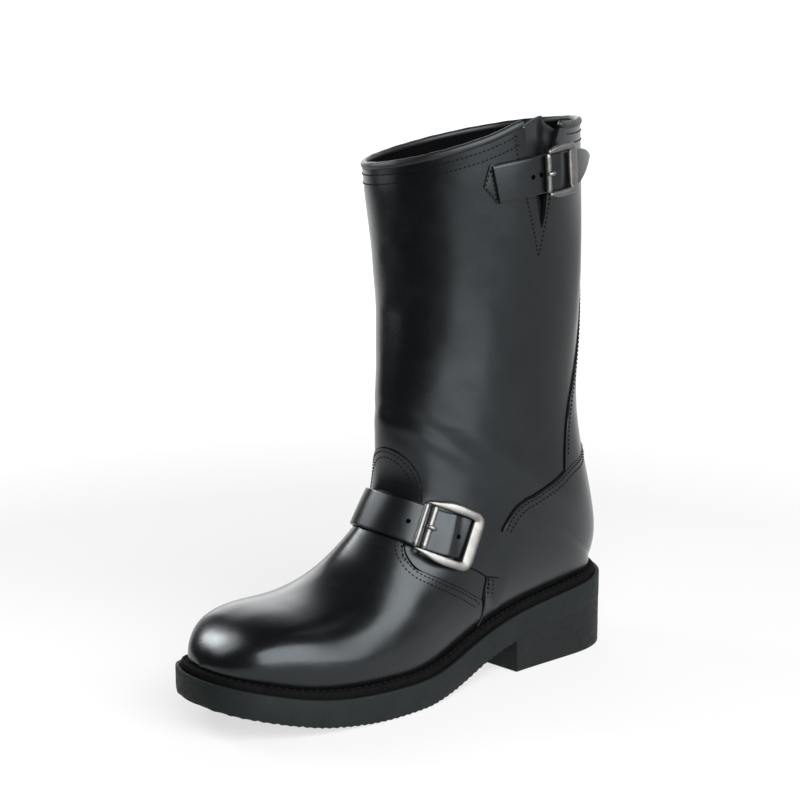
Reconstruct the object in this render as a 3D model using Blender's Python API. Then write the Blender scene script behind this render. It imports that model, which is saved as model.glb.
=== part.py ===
"""Left biker boot: tall smooth shaft, round toe, lugged sole, instep strap and top strap with buckles.

Sizes are millimetres here and become metres when a mesh is made. The toe points to -Y, the heel to +Y,
the outer side of the foot to +X and up is +Z. The boot stands on z = 0. Its sole is centred on x = y = 0, and
an empty then moves the whole boot, so that the box of all its pieces is centred.
"""
import bmesh
import bpy
import numpy as np


def table(names, rows):
    """Columns of a table under their names."""
    return dict(zip(names, np.array(rows).T))


METRES = 0.001
# Half way between the widest points of the whole boot.
MIDDLE_X = 4.7

SOLE_LENGTH = 305.4
BALL_WIDTH = 109.2
HEEL_WIDTH = 79.4
# The outline changes from shares of the ball width to shares of the heel width over this stretch.
WAIST_START = 0.45
WAIST_SPAN = 0.30
HEEL_SHARE = 0.714
OUTLINE_POINTS = 1440
FEATHER_INSET = 8.5
WELT_INSET = 3.4
WELT_RISE = 4.0
WELT_BEVEL = 0.8
MEETING_GAP = 0.3
WALL = 2.2
VAMP_STEP = 1.2
LOW_POWER = 2.1
SEAT_GROOVE = 1.4
BREAST_Y = 58.5
BREAST_SLANT = 0.10
TOP_PIECE_HEIGHT = 14.6
LIFT_INSET = 0.6
INSOLE_INSET = 13.4
INSOLE_THICK = 2.6
SOLE_STATIONS = 41
HEEL_STATIONS = 15
INSOLE_STATIONS = 31

# Half outlines of the sole as shares of its length and of the ball or heel width.
SHAPE = table(("along", "outer", "inner"), (
    (0.000, -0.035, -0.035),
    (0.013, 0.155, -0.205),
    (0.038, 0.270, -0.310),
    (0.090, 0.375, -0.400),
    (0.160, 0.445, -0.455),
    (0.240, 0.485, -0.485),
    (0.320, 0.505, -0.495),
    (0.390, 0.503, -0.465),
    (0.480, 0.468, -0.400),
    (0.575, 0.415, -0.355),
    (0.675, 0.378, -0.340),
    (0.770, 0.364, -0.346),
    (0.850, 0.358, -0.350),
    (0.913, 0.336, -0.330),
    (0.962, 0.265, -0.260),
    (0.987, 0.165, -0.163),
    (1.000, 0.000, 0.000),
))

# Height of the sole's top edge and of its underside along its length.
SOLE = table(("y", "top", "under"), (
    (-153.0, 34.5, 18.5),
    (-137.0, 31.0, 14.5),
    (-112.0, 24.7, 8.0),
    (-94.0, 21.0, 4.0),
    (-78.0, 19.0, 1.8),
    (-62.0, 18.0, 0.4),
    (-48.0, 17.7, 0.0),
    (-22.0, 17.7, 0.0),
    (-5.0, 20.0, 2.2),
    (14.5, 25.4, 7.2),
    (31.0, 30.2, 12.7),
    (58.5, 36.8, 19.4),
    (87.0, 41.0, 22.6),
    (114.0, 44.3, 25.3),
    (153.0, 48.6, 28.5),
))

# Sections of the upper from the toe to the heel: each runs from the feather line up to the ridge.
FOOT_COLUMNS = ("foot_y", "ridge_y", "ridge_z", "ridge_x", "half_outer", "half_inner", "widest",
                "crown", "split")
FOOT_ROWS = (
    (-144.2, -144.2, 38.5, -4.0, -3.5, 3.5, 0.32, 2.6, 0.30),
    (-142.0, -141.5, 45.0, -4.5, 11.0, 17.0, 0.32, 2.6, 0.30),
    (-136.0, -134.5, 52.5, -5.5, 23.5, 28.0, 0.32, 2.6, 0.30),
    (-126.0, -125.0, 59.0, -6.5, 32.5, 37.0, 0.32, 2.55, 0.30),
    (-113.0, -114.5, 63.0, -7.0, 38.5, 42.0, 0.31, 2.45, 0.30),
    (-97.0, -100.5, 65.0, -7.0, 43.0, 45.0, 0.29, 2.3, 0.30),
    (-78.0, -82.0, 66.0, -7.0, 46.5, 47.0, 0.27, 2.1, 0.30),
    (-58.0, -63.5, 69.5, -7.0, 48.5, 48.0, 0.26, 2.0, 0.30),
    (-36.0, -46.5, 78.0, -6.5, 48.5, 45.5, 0.26, 1.95, 0.30),
    (-13.0, -32.0, 91.0, -6.0, 46.5, 40.0, 0.26, 1.95, 0.31),
    (12.0, -20.0, 104.0, -5.0, 43.0, 36.5, 0.27, 1.95, 0.33),
    (38.0, -13.5, 116.0, -4.0, 41.0, 37.0, 0.29, 2.0, 0.35),
    (64.0, -11.5, 128.5, -3.0, 41.0, 39.5, 0.32, 2.0, 0.37),
    (90.0, -12.0, 139.5, -2.0, 41.5, 41.0, 0.35, 2.0, 0.39),
    (114.0, -13.0, 149.0, -1.0, 42.0, 42.0, 0.38, 2.05, 0.41),
    (131.5, -13.5, 157.0, -0.5, 43.0, 43.0, 0.41, 2.05, 0.43),
    (141.0, -13.5, 164.0, 0.0, 43.5, 43.5, 0.43, 2.1, 0.45),
    (144.2, -12.5, 171.0, 0.0, 44.5, 44.5, 0.445, 2.1, 0.46),
)

# Sections from the heel to the collar: each is a closed ring from the back line to the front line.
SHAFT_COLUMNS = ("back_y", "back_z", "front_y", "front_z", "half_outer", "half_inner", "widest",
                 "crown", "split", "side_rise")
SHAFT_ROWS = (
    (147.5, 64.0, -12.0, 178.5, 46.5, 46.5, 0.46, 2.1, 0.47, 0.0),
    (146.0, 82.0, -11.0, 188.0, 47.0, 47.0, 0.47, 2.1, 0.48, 0.0),
    (140.5, 103.0, -10.0, 199.0, 47.5, 47.5, 0.48, 2.1, 0.49, 0.0),
    (133.5, 126.0, -9.0, 210.0, 48.5, 48.5, 0.49, 2.1, 0.50, 0.0),
    (128.0, 151.0, -8.0, 222.0, 49.5, 49.5, 0.50, 2.1, 0.50, 0.0),
    (126.0, 176.0, -7.5, 235.0, 51.0, 51.0, 0.50, 2.1, 0.50, 0.0),
    (127.0, 202.0, -8.5, 250.0, 52.5, 52.5, 0.50, 2.1, 0.50, 0.02),
    (128.0, 230.0, -9.5, 266.0, 54.0, 54.0, 0.50, 2.1, 0.50, 0.04),
    (127.5, 260.0, -11.5, 283.0, 55.5, 55.5, 0.50, 2.1, 0.50, 0.06),
    (126.0, 290.0, -13.5, 298.0, 56.5, 56.5, 0.50, 2.1, 0.50, 0.08),
    (124.5, 316.0, -14.5, 309.0, 57.0, 57.0, 0.50, 2.1, 0.50, 0.10),
    (123.0, 338.0, -15.0, 316.0, 57.5, 57.5, 0.50, 2.1, 0.50, 0.11),
    (121.5, 357.0, -14.5, 328.0, 58.0, 58.0, 0.50, 2.1, 0.50, 0.11),
)
HEEL_ROW = len(FOOT_ROWS) - 1
COLLAR_ROW = len(FOOT_ROWS) + len(SHAFT_ROWS) - 1

GROOVE_PITCH = 12.0
GROOVE_WIDTH = 3.0
GROOVE_DEPTH = 2.4
GROOVE_EDGE = 0.3
GROOVE_CLEAR = 1.6
GROOVE_SPANS = ((-134.0, -58.0), (-12.0, 40.0))

# Side wall of the outsole from the tread up: how far each ring lies inside the outline, what its height is
# measured from, and that height.
RING_COLUMNS = ("inset", "reference", "height")
WALL_ROWS = (
    (0.8, "tread", 0.0),
    (0.0, "under", 4.0),
    (0.0, "top", -0.8),
    (0.7, "top", 0.0),
    (2.2, "top", 0.0),
    (3.0, "top", -SEAT_GROOVE),
)
LIFT_ROWS = (
    (LIFT_INSET, "floor", TOP_PIECE_HEIGHT),
    (LIFT_INSET, "under", -MEETING_GAP),
)
TOP_PIECE_ROWS = (
    (0.6, "floor", 0.0),
    (0.0, "floor", 1.2),
    (0.0, "floor", TOP_PIECE_HEIGHT - MEETING_GAP),
)
WELT_ROWS = (
    (WELT_INSET, "top", MEETING_GAP - SEAT_GROOVE),
    (WELT_INSET, "top", WELT_RISE - WELT_BEVEL),
    (WELT_INSET + WELT_BEVEL, "top", WELT_RISE),
)
INSOLE_ROWS = (
    (INSOLE_INSET, "feather", 0.0),
    (INSOLE_INSET, "feather", INSOLE_THICK),
)


def smooth_curve(knots, values):
    """Natural cubic curve through the rows of values, as a function of the knot coordinate."""
    knots = np.asarray(knots, float)
    values = np.asarray(values, float)
    if values.ndim == 1:
        values = values[:, None]
    gap = np.diff(knots)
    count = len(knots)
    matrix = np.zeros((count, count))
    right = np.zeros((count, values.shape[1]))
    matrix[0, 0] = 1.0
    matrix[-1, -1] = 1.0
    for i in range(1, count - 1):
        matrix[i, i - 1] = gap[i - 1]
        matrix[i, i] = 2.0 * (gap[i - 1] + gap[i])
        matrix[i, i + 1] = gap[i]
        right[i] = 6.0 * ((values[i + 1] - values[i]) / gap[i] - (values[i] - values[i - 1]) / gap[i - 1])
    bend = np.linalg.solve(matrix, right)

    def curve(x):
        x = np.asarray(x, float)
        i = np.clip(np.searchsorted(knots, x) - 1, 0, count - 2)
        h = gap[i][..., None]
        a = (knots[i + 1] - x)[..., None] / h
        b = 1.0 - a
        bent = ((a ** 3 - a) * bend[i] + (b ** 3 - b) * bend[i + 1]) * h * h / 6.0
        return a * values[i] + b * values[i + 1] + bent

    return curve


def dense_outline():
    """Closed outline of the sole, outer side from toe to heel and then the inner side back, with normals."""
    along, outer, inner = SHAPE["along"], SHAPE["outer"], SHAPE["inner"]
    y = (along - 0.5) * SOLE_LENGTH
    share = np.clip((along - WAIST_START) / WAIST_SPAN, 0.0, 1.0)
    blend = share * share * (3.0 - 2.0 * share)
    width = BALL_WIDTH + (HEEL_WIDTH / HEEL_SHARE - BALL_WIDTH) * blend
    loop = np.r_[np.c_[outer * width, y], np.c_[inner * width, y][-2:0:-1]]
    lap = 5
    loop = np.r_[loop[-lap:], loop, loop[:lap + 1]]
    run = np.r_[0.0, np.cumsum(np.linalg.norm(np.diff(loop, axis=0), axis=1))]
    curve = smooth_curve(run, loop)
    place = np.linspace(run[lap], run[lap + 2 * len(along) - 2], OUTLINE_POINTS + 1)[:-1]
    points = curve(place)
    ahead = np.roll(points, -1, axis=0) - np.roll(points, 1, axis=0)
    normal = np.c_[-ahead[:, 1], ahead[:, 0]]
    normal /= np.linalg.norm(normal, axis=1)[:, None]
    normal *= np.sign(np.sum(normal * (points - points.mean(axis=0)), axis=1))[:, None]
    low = points[:, 1].argmin()
    points = np.roll(points, -low, axis=0)
    normal = np.roll(normal, -low, axis=0)
    points[:, 1] *= SOLE_LENGTH / np.ptp(points[:, 1])
    points -= 0.5 * (points.max(axis=0) + points.min(axis=0))
    return points, normal


OUTLINE, OUTLINE_NORMAL = dense_outline()
HEEL_TIP = int(OUTLINE[:, 1].argmax())


def half_outline(values):
    """The outer and the inner half of a closed list along the outline, both from toe to heel."""
    return values[:HEEL_TIP + 1], np.r_[values[HEEL_TIP:], values[:1]][::-1]


SIDES = dict(zip(("outer", "inner"), zip(half_outline(OUTLINE), half_outline(OUTLINE_NORMAL))))


def outline_at(side, y):
    """Points of one side of the outline at the given lengths, with their outward normals."""
    points, normal = SIDES[side]
    found = np.c_[np.interp(y, points[:, 1], points[:, 0]), y]
    out = np.c_[np.interp(y, points[:, 1], normal[:, 0]), np.interp(y, points[:, 1], normal[:, 1])]
    return found, out / np.linalg.norm(out, axis=1)[:, None]


def inset_x(side, inset, y):
    """X of the outline moved inwards by the inset, at the given lengths."""
    points, normal = SIDES[side]
    moved = points - normal * inset
    order = np.maximum.accumulate(moved[:, 1])
    return np.interp(y, order, moved[:, 0])


SOLE_CURVE = smooth_curve(SOLE["y"], np.c_[SOLE["top"], SOLE["under"]])


def sole_top(y):
    return SOLE_CURVE(y)[..., 0]


def sole_under(y):
    return np.maximum(SOLE_CURVE(y)[..., 1], 0.0)


def feather_z(y):
    """Height at which the upper meets the welt."""
    return sole_top(y) + WELT_RISE + MEETING_GAP


def upper_rows():
    """All section rows in one table of plain columns for the smooth curve."""
    rows = []
    for row in FOOT_ROWS:
        r = dict(zip(FOOT_COLUMNS, row))
        y = r["foot_y"]
        rows.append((y, float(feather_z(np.array(y))), r["ridge_y"], r["ridge_z"], r["ridge_x"],
                     r["half_outer"], -r["half_inner"], r["widest"], r["crown"], r["split"], 0.0))
    for row in SHAFT_ROWS:
        r = dict(zip(SHAFT_COLUMNS, row))
        rows.append((r["back_y"], r["back_z"], r["front_y"], r["front_z"], 0.0, r["half_outer"],
                     -r["half_inner"], r["widest"], r["crown"], r["split"], r["side_rise"]))
    return rows


UPPER_TABLE = upper_rows()
UPPER_CURVE = smooth_curve(np.arange(len(UPPER_TABLE)), UPPER_TABLE)


def surface(t, f):
    """Point of the upper's outside: t runs from toe 0 to the collar, f from the outer foot or back line 0
    over the ridge 1 to the inner foot or back line 2."""
    t, f = np.broadcast_arrays(np.asarray(t, float), np.asarray(f, float))
    (low_y, low_z, top_y, top_z, top_x, wide_out, wide_in, widest, crown, split,
     rise) = np.moveaxis(UPPER_CURVE(t), -1, 0)
    on_outer = f <= 1.0
    g = np.where(on_outer, f, 2.0 - f)
    wide = np.where(on_outer, wide_out, wide_in)
    foot = t < HEEL_ROW
    foot_y = np.clip(low_y, -0.5 * SOLE_LENGTH + FEATHER_INSET, 0.5 * SOLE_LENGTH - FEATHER_INSET)
    low_z = np.where(foot, feather_z(foot_y), low_z)
    outer_edge = inset_x("outer", FEATHER_INSET, foot_y)
    inner_edge = inset_x("inner", FEATHER_INSET, foot_y)
    edge = np.where(foot, np.where(on_outer, outer_edge, inner_edge), top_x)
    below = np.clip(g / split, 0.0, 1.0)
    above = np.clip((g - split) / (1.0 - split), 0.0, 1.0)
    low_share = 1.0 - np.cos(0.5 * np.pi * below)
    high_share = np.sin(0.5 * np.pi * above)
    cut = np.clip(np.abs(edge - top_x) / np.maximum(np.abs(wide - top_x), 1e-6), 0.0, 1.0)
    start = 1.0 - (1.0 - cut ** LOW_POWER) ** (1.0 / LOW_POWER)
    reach = np.clip(1.0 - (start + (1.0 - start) * low_share), 0.0, 1.0)
    swell = np.clip(1.0 - reach ** LOW_POWER, 0.0, 1.0) ** (1.0 / LOW_POWER)
    arch = np.clip(1.0 - high_share ** crown, 0.0, 1.0) ** (1.0 / crown)
    share = np.where(g < split, widest * low_share, widest + (1.0 - widest) * high_share)
    x = np.where(g < split, top_x + (wide - top_x) * swell, top_x + (wide - top_x) * arch)
    y = low_y + share * (top_y - low_y)
    z = low_z + share * (top_z - low_z) + rise * x
    return np.stack([x, y, z], axis=-1)


FINISH_COLUMNS = ("color", "roughness", "metallic")
FINISHES = {
    "black_leather": ((0.010, 0.011, 0.012), 0.30, 0.0),
    "trim_leather": ((0.014, 0.014, 0.015), 0.45, 0.0),
    "black_rubber": ((0.028, 0.032, 0.033), 0.65, 0.0),
    "welt_edge": ((0.012, 0.012, 0.012), 0.75, 0.0),
    "grey_felt": ((0.040, 0.040, 0.042), 0.95, 0.0),
    "nickel_plate": ((0.62, 0.60, 0.56), 0.30, 1.0),
}
SHARP_ANGLE = 0.7
WELD = 2e-6


def make_material(piece, finish):
    """Material of one piece in the named finish."""
    r = dict(zip(FINISH_COLUMNS, FINISHES[finish]))
    material = bpy.data.materials.new(piece + "_" + finish)
    material.use_nodes = True
    shader = material.node_tree.nodes["Principled BSDF"]
    shader.inputs["Base Color"].default_value = (*r["color"], 1.0)
    shader.inputs["Roughness"].default_value = r["roughness"]
    shader.inputs["Metallic"].default_value = r["metallic"]
    return material


def add_solid(name, points, faces, finish):
    """One closed object from points in millimetres, faces turned outwards, carried by the boot's empty."""
    mesh = bpy.data.meshes.new(name)
    mesh.from_pydata((np.asarray(points) * METRES).tolist(), [], faces)
    work = bmesh.new()
    work.from_mesh(mesh)
    bmesh.ops.remove_doubles(work, verts=work.verts, dist=WELD)
    bmesh.ops.dissolve_degenerate(work, edges=work.edges, dist=0.5 * WELD)
    bmesh.ops.recalc_face_normals(work, faces=work.faces)
    work.to_mesh(mesh)
    work.free()
    mesh.shade_smooth()
    mesh.set_sharp_from_angle(angle=SHARP_ANGLE)
    mesh.materials.append(make_material(name, finish))
    thing = bpy.data.objects.new(name, mesh)
    thing.parent = bpy.data.objects["boot"]
    bpy.context.scene.collection.objects.link(thing)
    return thing


def loop_solid(name, stations, rings, finish, front_tip=True, slant=None):
    """Solid between rings of the sole's outline; each ring has an inset and a height from its reference."""
    rail = [outline_at(side, stations) for side in ("outer", "inner")]
    count = len(stations)
    inner_rows = list(range(count - 2, 0 if front_tip else -1, -1))
    size = count + len(inner_rows)
    points = []
    faces = []
    for ring in rings:
        r = dict(zip(RING_COLUMNS, ring))
        outer, inner = [found - out * r["inset"] for found, out in rail]
        loop = np.r_[outer, inner[inner_rows]]
        if slant is not None:
            loop = slant(loop, r["inset"])
        points.append(np.c_[loop, REFERENCES[r["reference"]](loop[:, 1]) + r["height"]])
    for k in range(len(rings) - 1):
        for i in range(size):
            j = (i + 1) % size
            faces.append((k * size + i, k * size + j, (k + 1) * size + j, (k + 1) * size + i))
    twin = {count - 1: count - 1}
    for place, row in enumerate(inner_rows):
        twin[row] = count + place
    if front_tip:
        twin[0] = 0
    for k in (0, len(rings) - 1):
        for i in range(count - 1):
            quad = [i, i + 1, twin[i + 1], twin[i]]
            kept = [k * size + q for n, q in enumerate(quad) if q not in quad[:n]]
            faces.append(tuple(kept))
    return add_solid(name, np.concatenate(points), faces, finish)


def groove_stations():
    """Start and end of each cross groove of the tread."""
    edges = []
    for start, stop in GROOVE_SPANS:
        for y in np.arange(start, stop, GROOVE_PITCH):
            edges.append((y, y + GROOVE_WIDTH))
    return edges


GROOVES = groove_stations()


def tread(y):
    """Underside with its cross grooves."""
    height = sole_under(y)
    for start, stop in GROOVES:
        inside = (y > start - 0.05) & (y < stop + 0.05)
        height = np.where(inside, height + GROOVE_DEPTH, height)
    return height


REFERENCES = {
    "floor": np.zeros_like,
    "tread": tread,
    "under": sole_under,
    "top": sole_top,
    "feather": feather_z,
}


def sole_stations(count, clear=None):
    """Stations along the sole, closer at its ends, with the edges of the grooves among them if asked."""
    even = -0.5 * SOLE_LENGTH * np.cos(np.linspace(0.0, np.pi, count))
    if clear is None:
        return even
    cuts = [y for start, stop in GROOVES for y in (start - GROOVE_EDGE, start, stop, stop + GROOVE_EDGE)]
    kept = [y for y in even if np.abs(np.array(cuts) - y).min() > clear]
    return np.sort(np.r_[kept, cuts])


def heel_stations(count):
    """Stations from the heel breast to the back, closer at the back."""
    share = np.sin(0.5 * np.pi * np.linspace(0.0, 1.0, count))
    return BREAST_Y + share * (0.5 * SOLE_LENGTH - BREAST_Y)


def breast_slant(loop, inset):
    """Leans the heel breast so that its inner end lies further forward."""
    back = 0.5 * SOLE_LENGTH
    fade = np.clip((back - loop[:, 1]) / (back - BREAST_Y), 0.0, 1.0)
    moved = loop.copy()
    moved[:, 1] += fade * BREAST_SLANT * (loop[:, 0] - 0.5 * HEEL_WIDTH) + fade ** 6 * inset
    return moved


def build_sole():
    """Outsole with its tread, heel lift, heel top piece, midsole with the welt's edge, and insole."""
    loop_solid("outsole", sole_stations(SOLE_STATIONS, GROOVE_CLEAR), WALL_ROWS, "black_rubber")
    heel = heel_stations(HEEL_STATIONS)
    loop_solid("heel_lift", heel, LIFT_ROWS, "black_rubber", False, breast_slant)
    loop_solid("heel_top_piece", heel, TOP_PIECE_ROWS, "black_rubber", False, breast_slant)
    loop_solid("welt_midsole", sole_stations(SOLE_STATIONS), WELT_ROWS, "welt_edge")
    loop_solid("insole", sole_stations(INSOLE_STATIONS), INSOLE_ROWS, "grey_felt")


# Places on the upper are given as a section row and a place across: 0 is the outer foot or back line,
# 1 the ridge or front line, 2 the inner foot or back line.
RIM = table(("across", "row"), (
    (0.00, 28.75),
    (0.28, 28.75),
    (0.40, 28.90),
    (0.54, 29.35),
    (0.62, 29.15),
    (0.70, 28.95),
    (0.80, 28.75),
    (0.88, 28.60),
    (1.00, 28.45),
    (1.12, 28.45),
    (1.30, 28.60),
    (1.50, 28.75),
    (2.00, 28.75),
))
VAMP = table(("across", "row"), (
    (0.00, 10.50),
    (0.10, 10.65),
    (0.25, 11.00),
    (0.29, 11.05),
    (0.38, 10.75),
    (0.45, 10.40),
    (0.54, 9.95),
    (0.63, 9.55),
    (0.68, 9.50),
    (1.00, 9.50),
))
TONGUE = table(("row", "outer_across", "inner_across"), (
    (0.0, 0.690, 1.310),
    (9.5, 0.700, 1.300),
    (9.8, 0.735, 1.270),
    (10.5, 0.745, 1.250),
    (11.5, 0.750, 1.240),
    (12.6, 0.775, 1.205),
    (16.0, 0.790, 1.190),
    (30.0, 0.790, 1.190),
))
TONGUE_TOP = table(("share", "row"), (
    (0.00, 12.60),
    (0.07, 13.15),
    (0.16, 13.50),
    (0.28, 13.70),
    (0.42, 13.75),
    (0.58, 13.65),
    (0.74, 13.45),
    (0.88, 13.10),
    (1.00, 12.60),
))
SLIT_FOOT = 26.1
SLIT = table(("row", "front_across", "rear_across"), (
    (SLIT_FOOT, 0.490, 0.490),
    (26.45, 0.500, 0.475),
    (27.20, 0.520, 0.465),
    (28.20, 0.535, 0.440),
    (29.40, 0.545, 0.390),
))
COUNTER = table(("row", "top_across"), (
    (10.50, 0.000),
    (10.65, 0.090),
    (11.00, 0.240),
    (11.40, 0.330),
    (12.00, 0.395),
    (13.00, 0.460),
    (14.00, 0.490),
    (15.50, 0.505),
    (17.00, 0.495),
    (18.00, 0.467),
    (19.00, 0.415),
    (20.00, 0.335),
    (20.70, 0.245),
    (21.20, 0.135),
    (21.45, 0.000),
))
STAY = table(("row", "edge_across"), (
    (19.6, 0.390),
    (21.0, 0.360),
    (22.0, 0.310),
    (23.0, 0.250),
    (23.8, 0.205),
    (24.7, 0.165),
    (26.0, 0.130),
    (27.4, 0.105),
    (28.7, 0.092),
))
# Stretches of rows for the grids of counter and stay.
GRID_COLUMNS = ("first_row", "last_row", "count")
COUNTER_GRID = (
    (10.68, 12.40, 6),
    (13.20, 20.40, 11),
    (20.75, 21.45, 4),
)
STAY_GRID = (
    (19.78, 21.42, 5),
    (21.78, 28.60, 11),
)
# Clear height under the two overlays, and how far the counter's lower edge keeps off the back of the heel.
COUNTER_HEIGHT = table(("row", "gap"), (
    (19.6, 0.95),
    (20.8, 2.2),
))
STAY_HEIGHT = table(("row", "gap"), (
    (22.0, 2.6),
    (23.4, 1.6),
    (26.0, 0.7),
))
COUNTER_LOW = table(("row", "across"), (
    (15.6, 0.06),
    (17.0, 0.0),
))
SEAM_GAP = 0.04
STAY_GAP = 0.037
STAY_NARROW = 0.004
COUNTER_STEPS = 7
STAY_STEPS = 5

INSTEP = table(("across", "row"), (
    (0.455, 12.5),
    (0.500, 12.2),
    (0.595, 11.5),
    (0.710, 10.9),
    (0.835, 10.5),
    (0.950, 10.3),
    (1.060, 10.3),
    (1.180, 10.5),
    (1.300, 10.9),
    (1.410, 11.5),
    (1.500, 12.2),
    (1.545, 12.5),
))
TOP_STRAP = table(("across", "row"), (
    (0.190, 27.91),
    (0.250, 27.83),
    (0.300, 27.74),
    (0.350, 27.64),
    (0.400, 27.58),
    (0.470, 27.55),
    (0.560, 27.42),
    (0.640, 27.27),
    (0.690, 27.10),
))
# Height of each strap's underside over the upper, raised over the tongue and inside the buckle.
INSTEP_LIFT = table(("across", "lift"), (
    (0.530, 0.8),
    (0.570, 0.8),
    (0.585, 1.6),
    (0.605, 1.6),
    (0.625, 0.8),
    (0.640, 0.9),
    (0.730, 1.9),
    (1.270, 1.9),
    (1.390, 0.8),
    (1.520, 0.8),
))
TOP_STRAP_LIFT = table(("across", "lift"), (
    (0.220, 3.2),
    (0.250, 2.6),
    (0.280, 2.2),
    (0.310, 1.9),
    (0.400, 1.8),
    (0.420, 2.5),
    (0.455, 2.5),
    (0.475, 1.8),
    (0.650, 1.8),
))
# Share of the full width along the pointed ends.
TOP_STRAP_POINT = table(("across", "share"), (
    (0.220, 0.05),
    (0.235, 0.22),
    (0.250, 0.37),
    (0.275, 0.58),
    (0.305, 0.78),
    (0.330, 0.91),
    (0.360, 1.00),
    (0.650, 1.00),
))
TAB_POINT = table(("across", "share"), (
    (0.590, 0.90),
    (0.620, 0.96),
    (0.643, 1.05),
    (0.657, 0.58),
    (0.672, 0.05),
))
INSTEP_SPAN = (0.535, 1.52)
TOP_STRAP_SPAN = (0.220, 0.641)
TAB_SPAN = (0.590, 0.672)
INSTEP_STATIONS = 22
TOP_STRAP_STATIONS = 16
TAB_STATIONS = 6
STRAP_STEPS = 3

VAMP_STEPS = 11
TONGUE_STEPS = 6
SHAFT_STEPS = 12
COLLAR_STEPS = 5
REAR_STEPS = 7
FORE_STEPS = 4
TONGUE_ACROSS = 8
INNER_STEPS = 9
EDGE_SPLIT = 0.015
SIDE_SPLIT = 0.006
SETTLE_ROUNDS = 12

COUNTER_THICK = 1.4
STAY_THICK = 1.1
STRAP_THICK = 2.2
STRAP_WIDTH = 26.0
TOP_STRAP_WIDTH = 22.4
TAB_THICK = 1.1
BINDING_RADIUS = 1.9
BINDING_RISE = 0.65
BINDING_STATIONS = 43
BINDING_ROW = 29.0
BINDING_GAP = 0.004
BACK_LINE = 1.999
BINDING_SIDES = 6

# Bellows behind the slit: its rows, how far it laps behind both edges, the height of its crest across it,
# how far it is folded inwards across it, and the rows over which it opens.
GUSSET_ROWS = (25.8, 29.3)
GUSSET_LAP = 0.032
GUSSET_CREST = table(("share", "row"), (
    (0.0, 29.15),
    (0.3, 29.47),
    (0.5, 29.53),
    (0.62, 29.48),
    (0.75, 29.15),
    (1.0, 28.62),
))
GUSSET_FOLD = table(("share", "depth"), (
    (0.0, 0.0),
    (0.25, 0.0),
    (0.5, 0.12),
    (0.62, 0.34),
    (0.75, 1.0),
    (0.88, 0.45),
    (1.0, 0.0),
))
GUSSET_OPEN = (26.2, 29.2)
GUSSET_THICK = 1.2
GUSSET_DEPTH = 11.0
GUSSET_CLEAR = 1.1
GUSSET_STEPS = (8, 9)


def column(columns, key, wanted, value):
    """Value of one column of a table at the given key, straight between its rows."""
    return np.interp(value, columns[key], columns[wanted])


def smooth_column(columns, key, wanted, value):
    """Value of one column of a table at the given key, on a smooth curve."""
    return smooth_curve(columns[key], columns[wanted])(np.asarray(value, float))[..., 0]


def rim_row(f):
    return smooth_column(RIM, "across", "row", f)


def slit_edges(t):
    """Front and rear edge of the slit at a row; they meet below it."""
    return column(SLIT, "row", "front_across", t), column(SLIT, "row", "rear_across", t)


def tongue_edges(t):
    """Outer and inner edge of the tongue at a row."""
    return column(TONGUE, "row", "outer_across", t), column(TONGUE, "row", "inner_across", t)


def counter_edge(t):
    """Place of the counter's top edge at a row, clear of the vamp's edge in front."""
    start = COUNTER["row"][0]
    place = smooth_column(COUNTER, "row", "top_across", np.maximum(t - SEAM_GAP, start))
    return np.maximum(place, 0.0)


def grid_rows(grid, fine=1):
    """Rows of a grid from its stretches."""
    stretches = [dict(zip(GRID_COLUMNS, stretch)) for stretch in grid]
    return np.concatenate([np.linspace(s["first_row"], s["last_row"], (s["count"] - 1) * fine + 1)
                           for s in stretches])


def row_stack(start, stop, rim, fine=1):
    """Rows of one column: to the vamp's edge, on to the tongue's top and on to the rim, each edge doubled."""
    low = np.linspace(0.0, 1.0, VAMP_STEPS * fine + 1)
    mid = np.linspace(0.0, 1.0, TONGUE_STEPS * fine + 1)
    high = np.linspace(0.0, 1.0, SHAFT_STEPS * fine + 1)
    brim = np.linspace(0.0, 1.0, COLLAR_STEPS * fine + 1)[1:]
    return np.r_[low * (start - EDGE_SPLIT),
                 start + EDGE_SPLIT + mid * (stop - start - 2.0 * EDGE_SPLIT),
                 stop + EDGE_SPLIT + high * (SLIT_FOOT - stop - EDGE_SPLIT),
                 SLIT_FOOT + brim * (rim - SLIT_FOOT)]


def behind(t, share):
    """Place across between the back line and the slit's rear edge."""
    return share * slit_edges(t)[1]


def before(t, share):
    """Place across between the slit's front edge and the tongue."""
    front = slit_edges(t)[0]
    return front + share * (tongue_edges(t)[0] - SIDE_SPLIT - front)


def on_tongue(t, share):
    """Place across on the tongue, or in line with it."""
    outer, inner = tongue_edges(t)
    return outer + share * (inner - outer)


def beyond(t, share):
    """Place across between the tongue and the inner back line."""
    edge = tongue_edges(t)[1] + SIDE_SPLIT
    return edge + share * (2.0 - edge)


def settled_column(place, share, tongue_share, fine):
    """Rows and places of one column of the upper; each depends a little on the other."""
    low_rows = VAMP_STEPS * fine + 1
    mid_rows = TONGUE_STEPS * fine + 1
    f = place(np.full(low_rows + mid_rows + (SHAFT_STEPS + COLLAR_STEPS) * fine + 1, VAMP["row"][-1]), share)
    for _ in range(SETTLE_ROUNDS):
        start = column(VAMP, "across", "row", min(f[low_rows], 2.0 - f[low_rows]))
        stop = column(TONGUE_TOP, "share", "row", tongue_share)
        t = row_stack(start, stop, rim_row(f[-1]), fine)
        f = place(t, share)
    step = np.zeros(t.shape)
    step[:low_rows + mid_rows if place is on_tongue else low_rows] = VAMP_STEP
    return t, f, step


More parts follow.
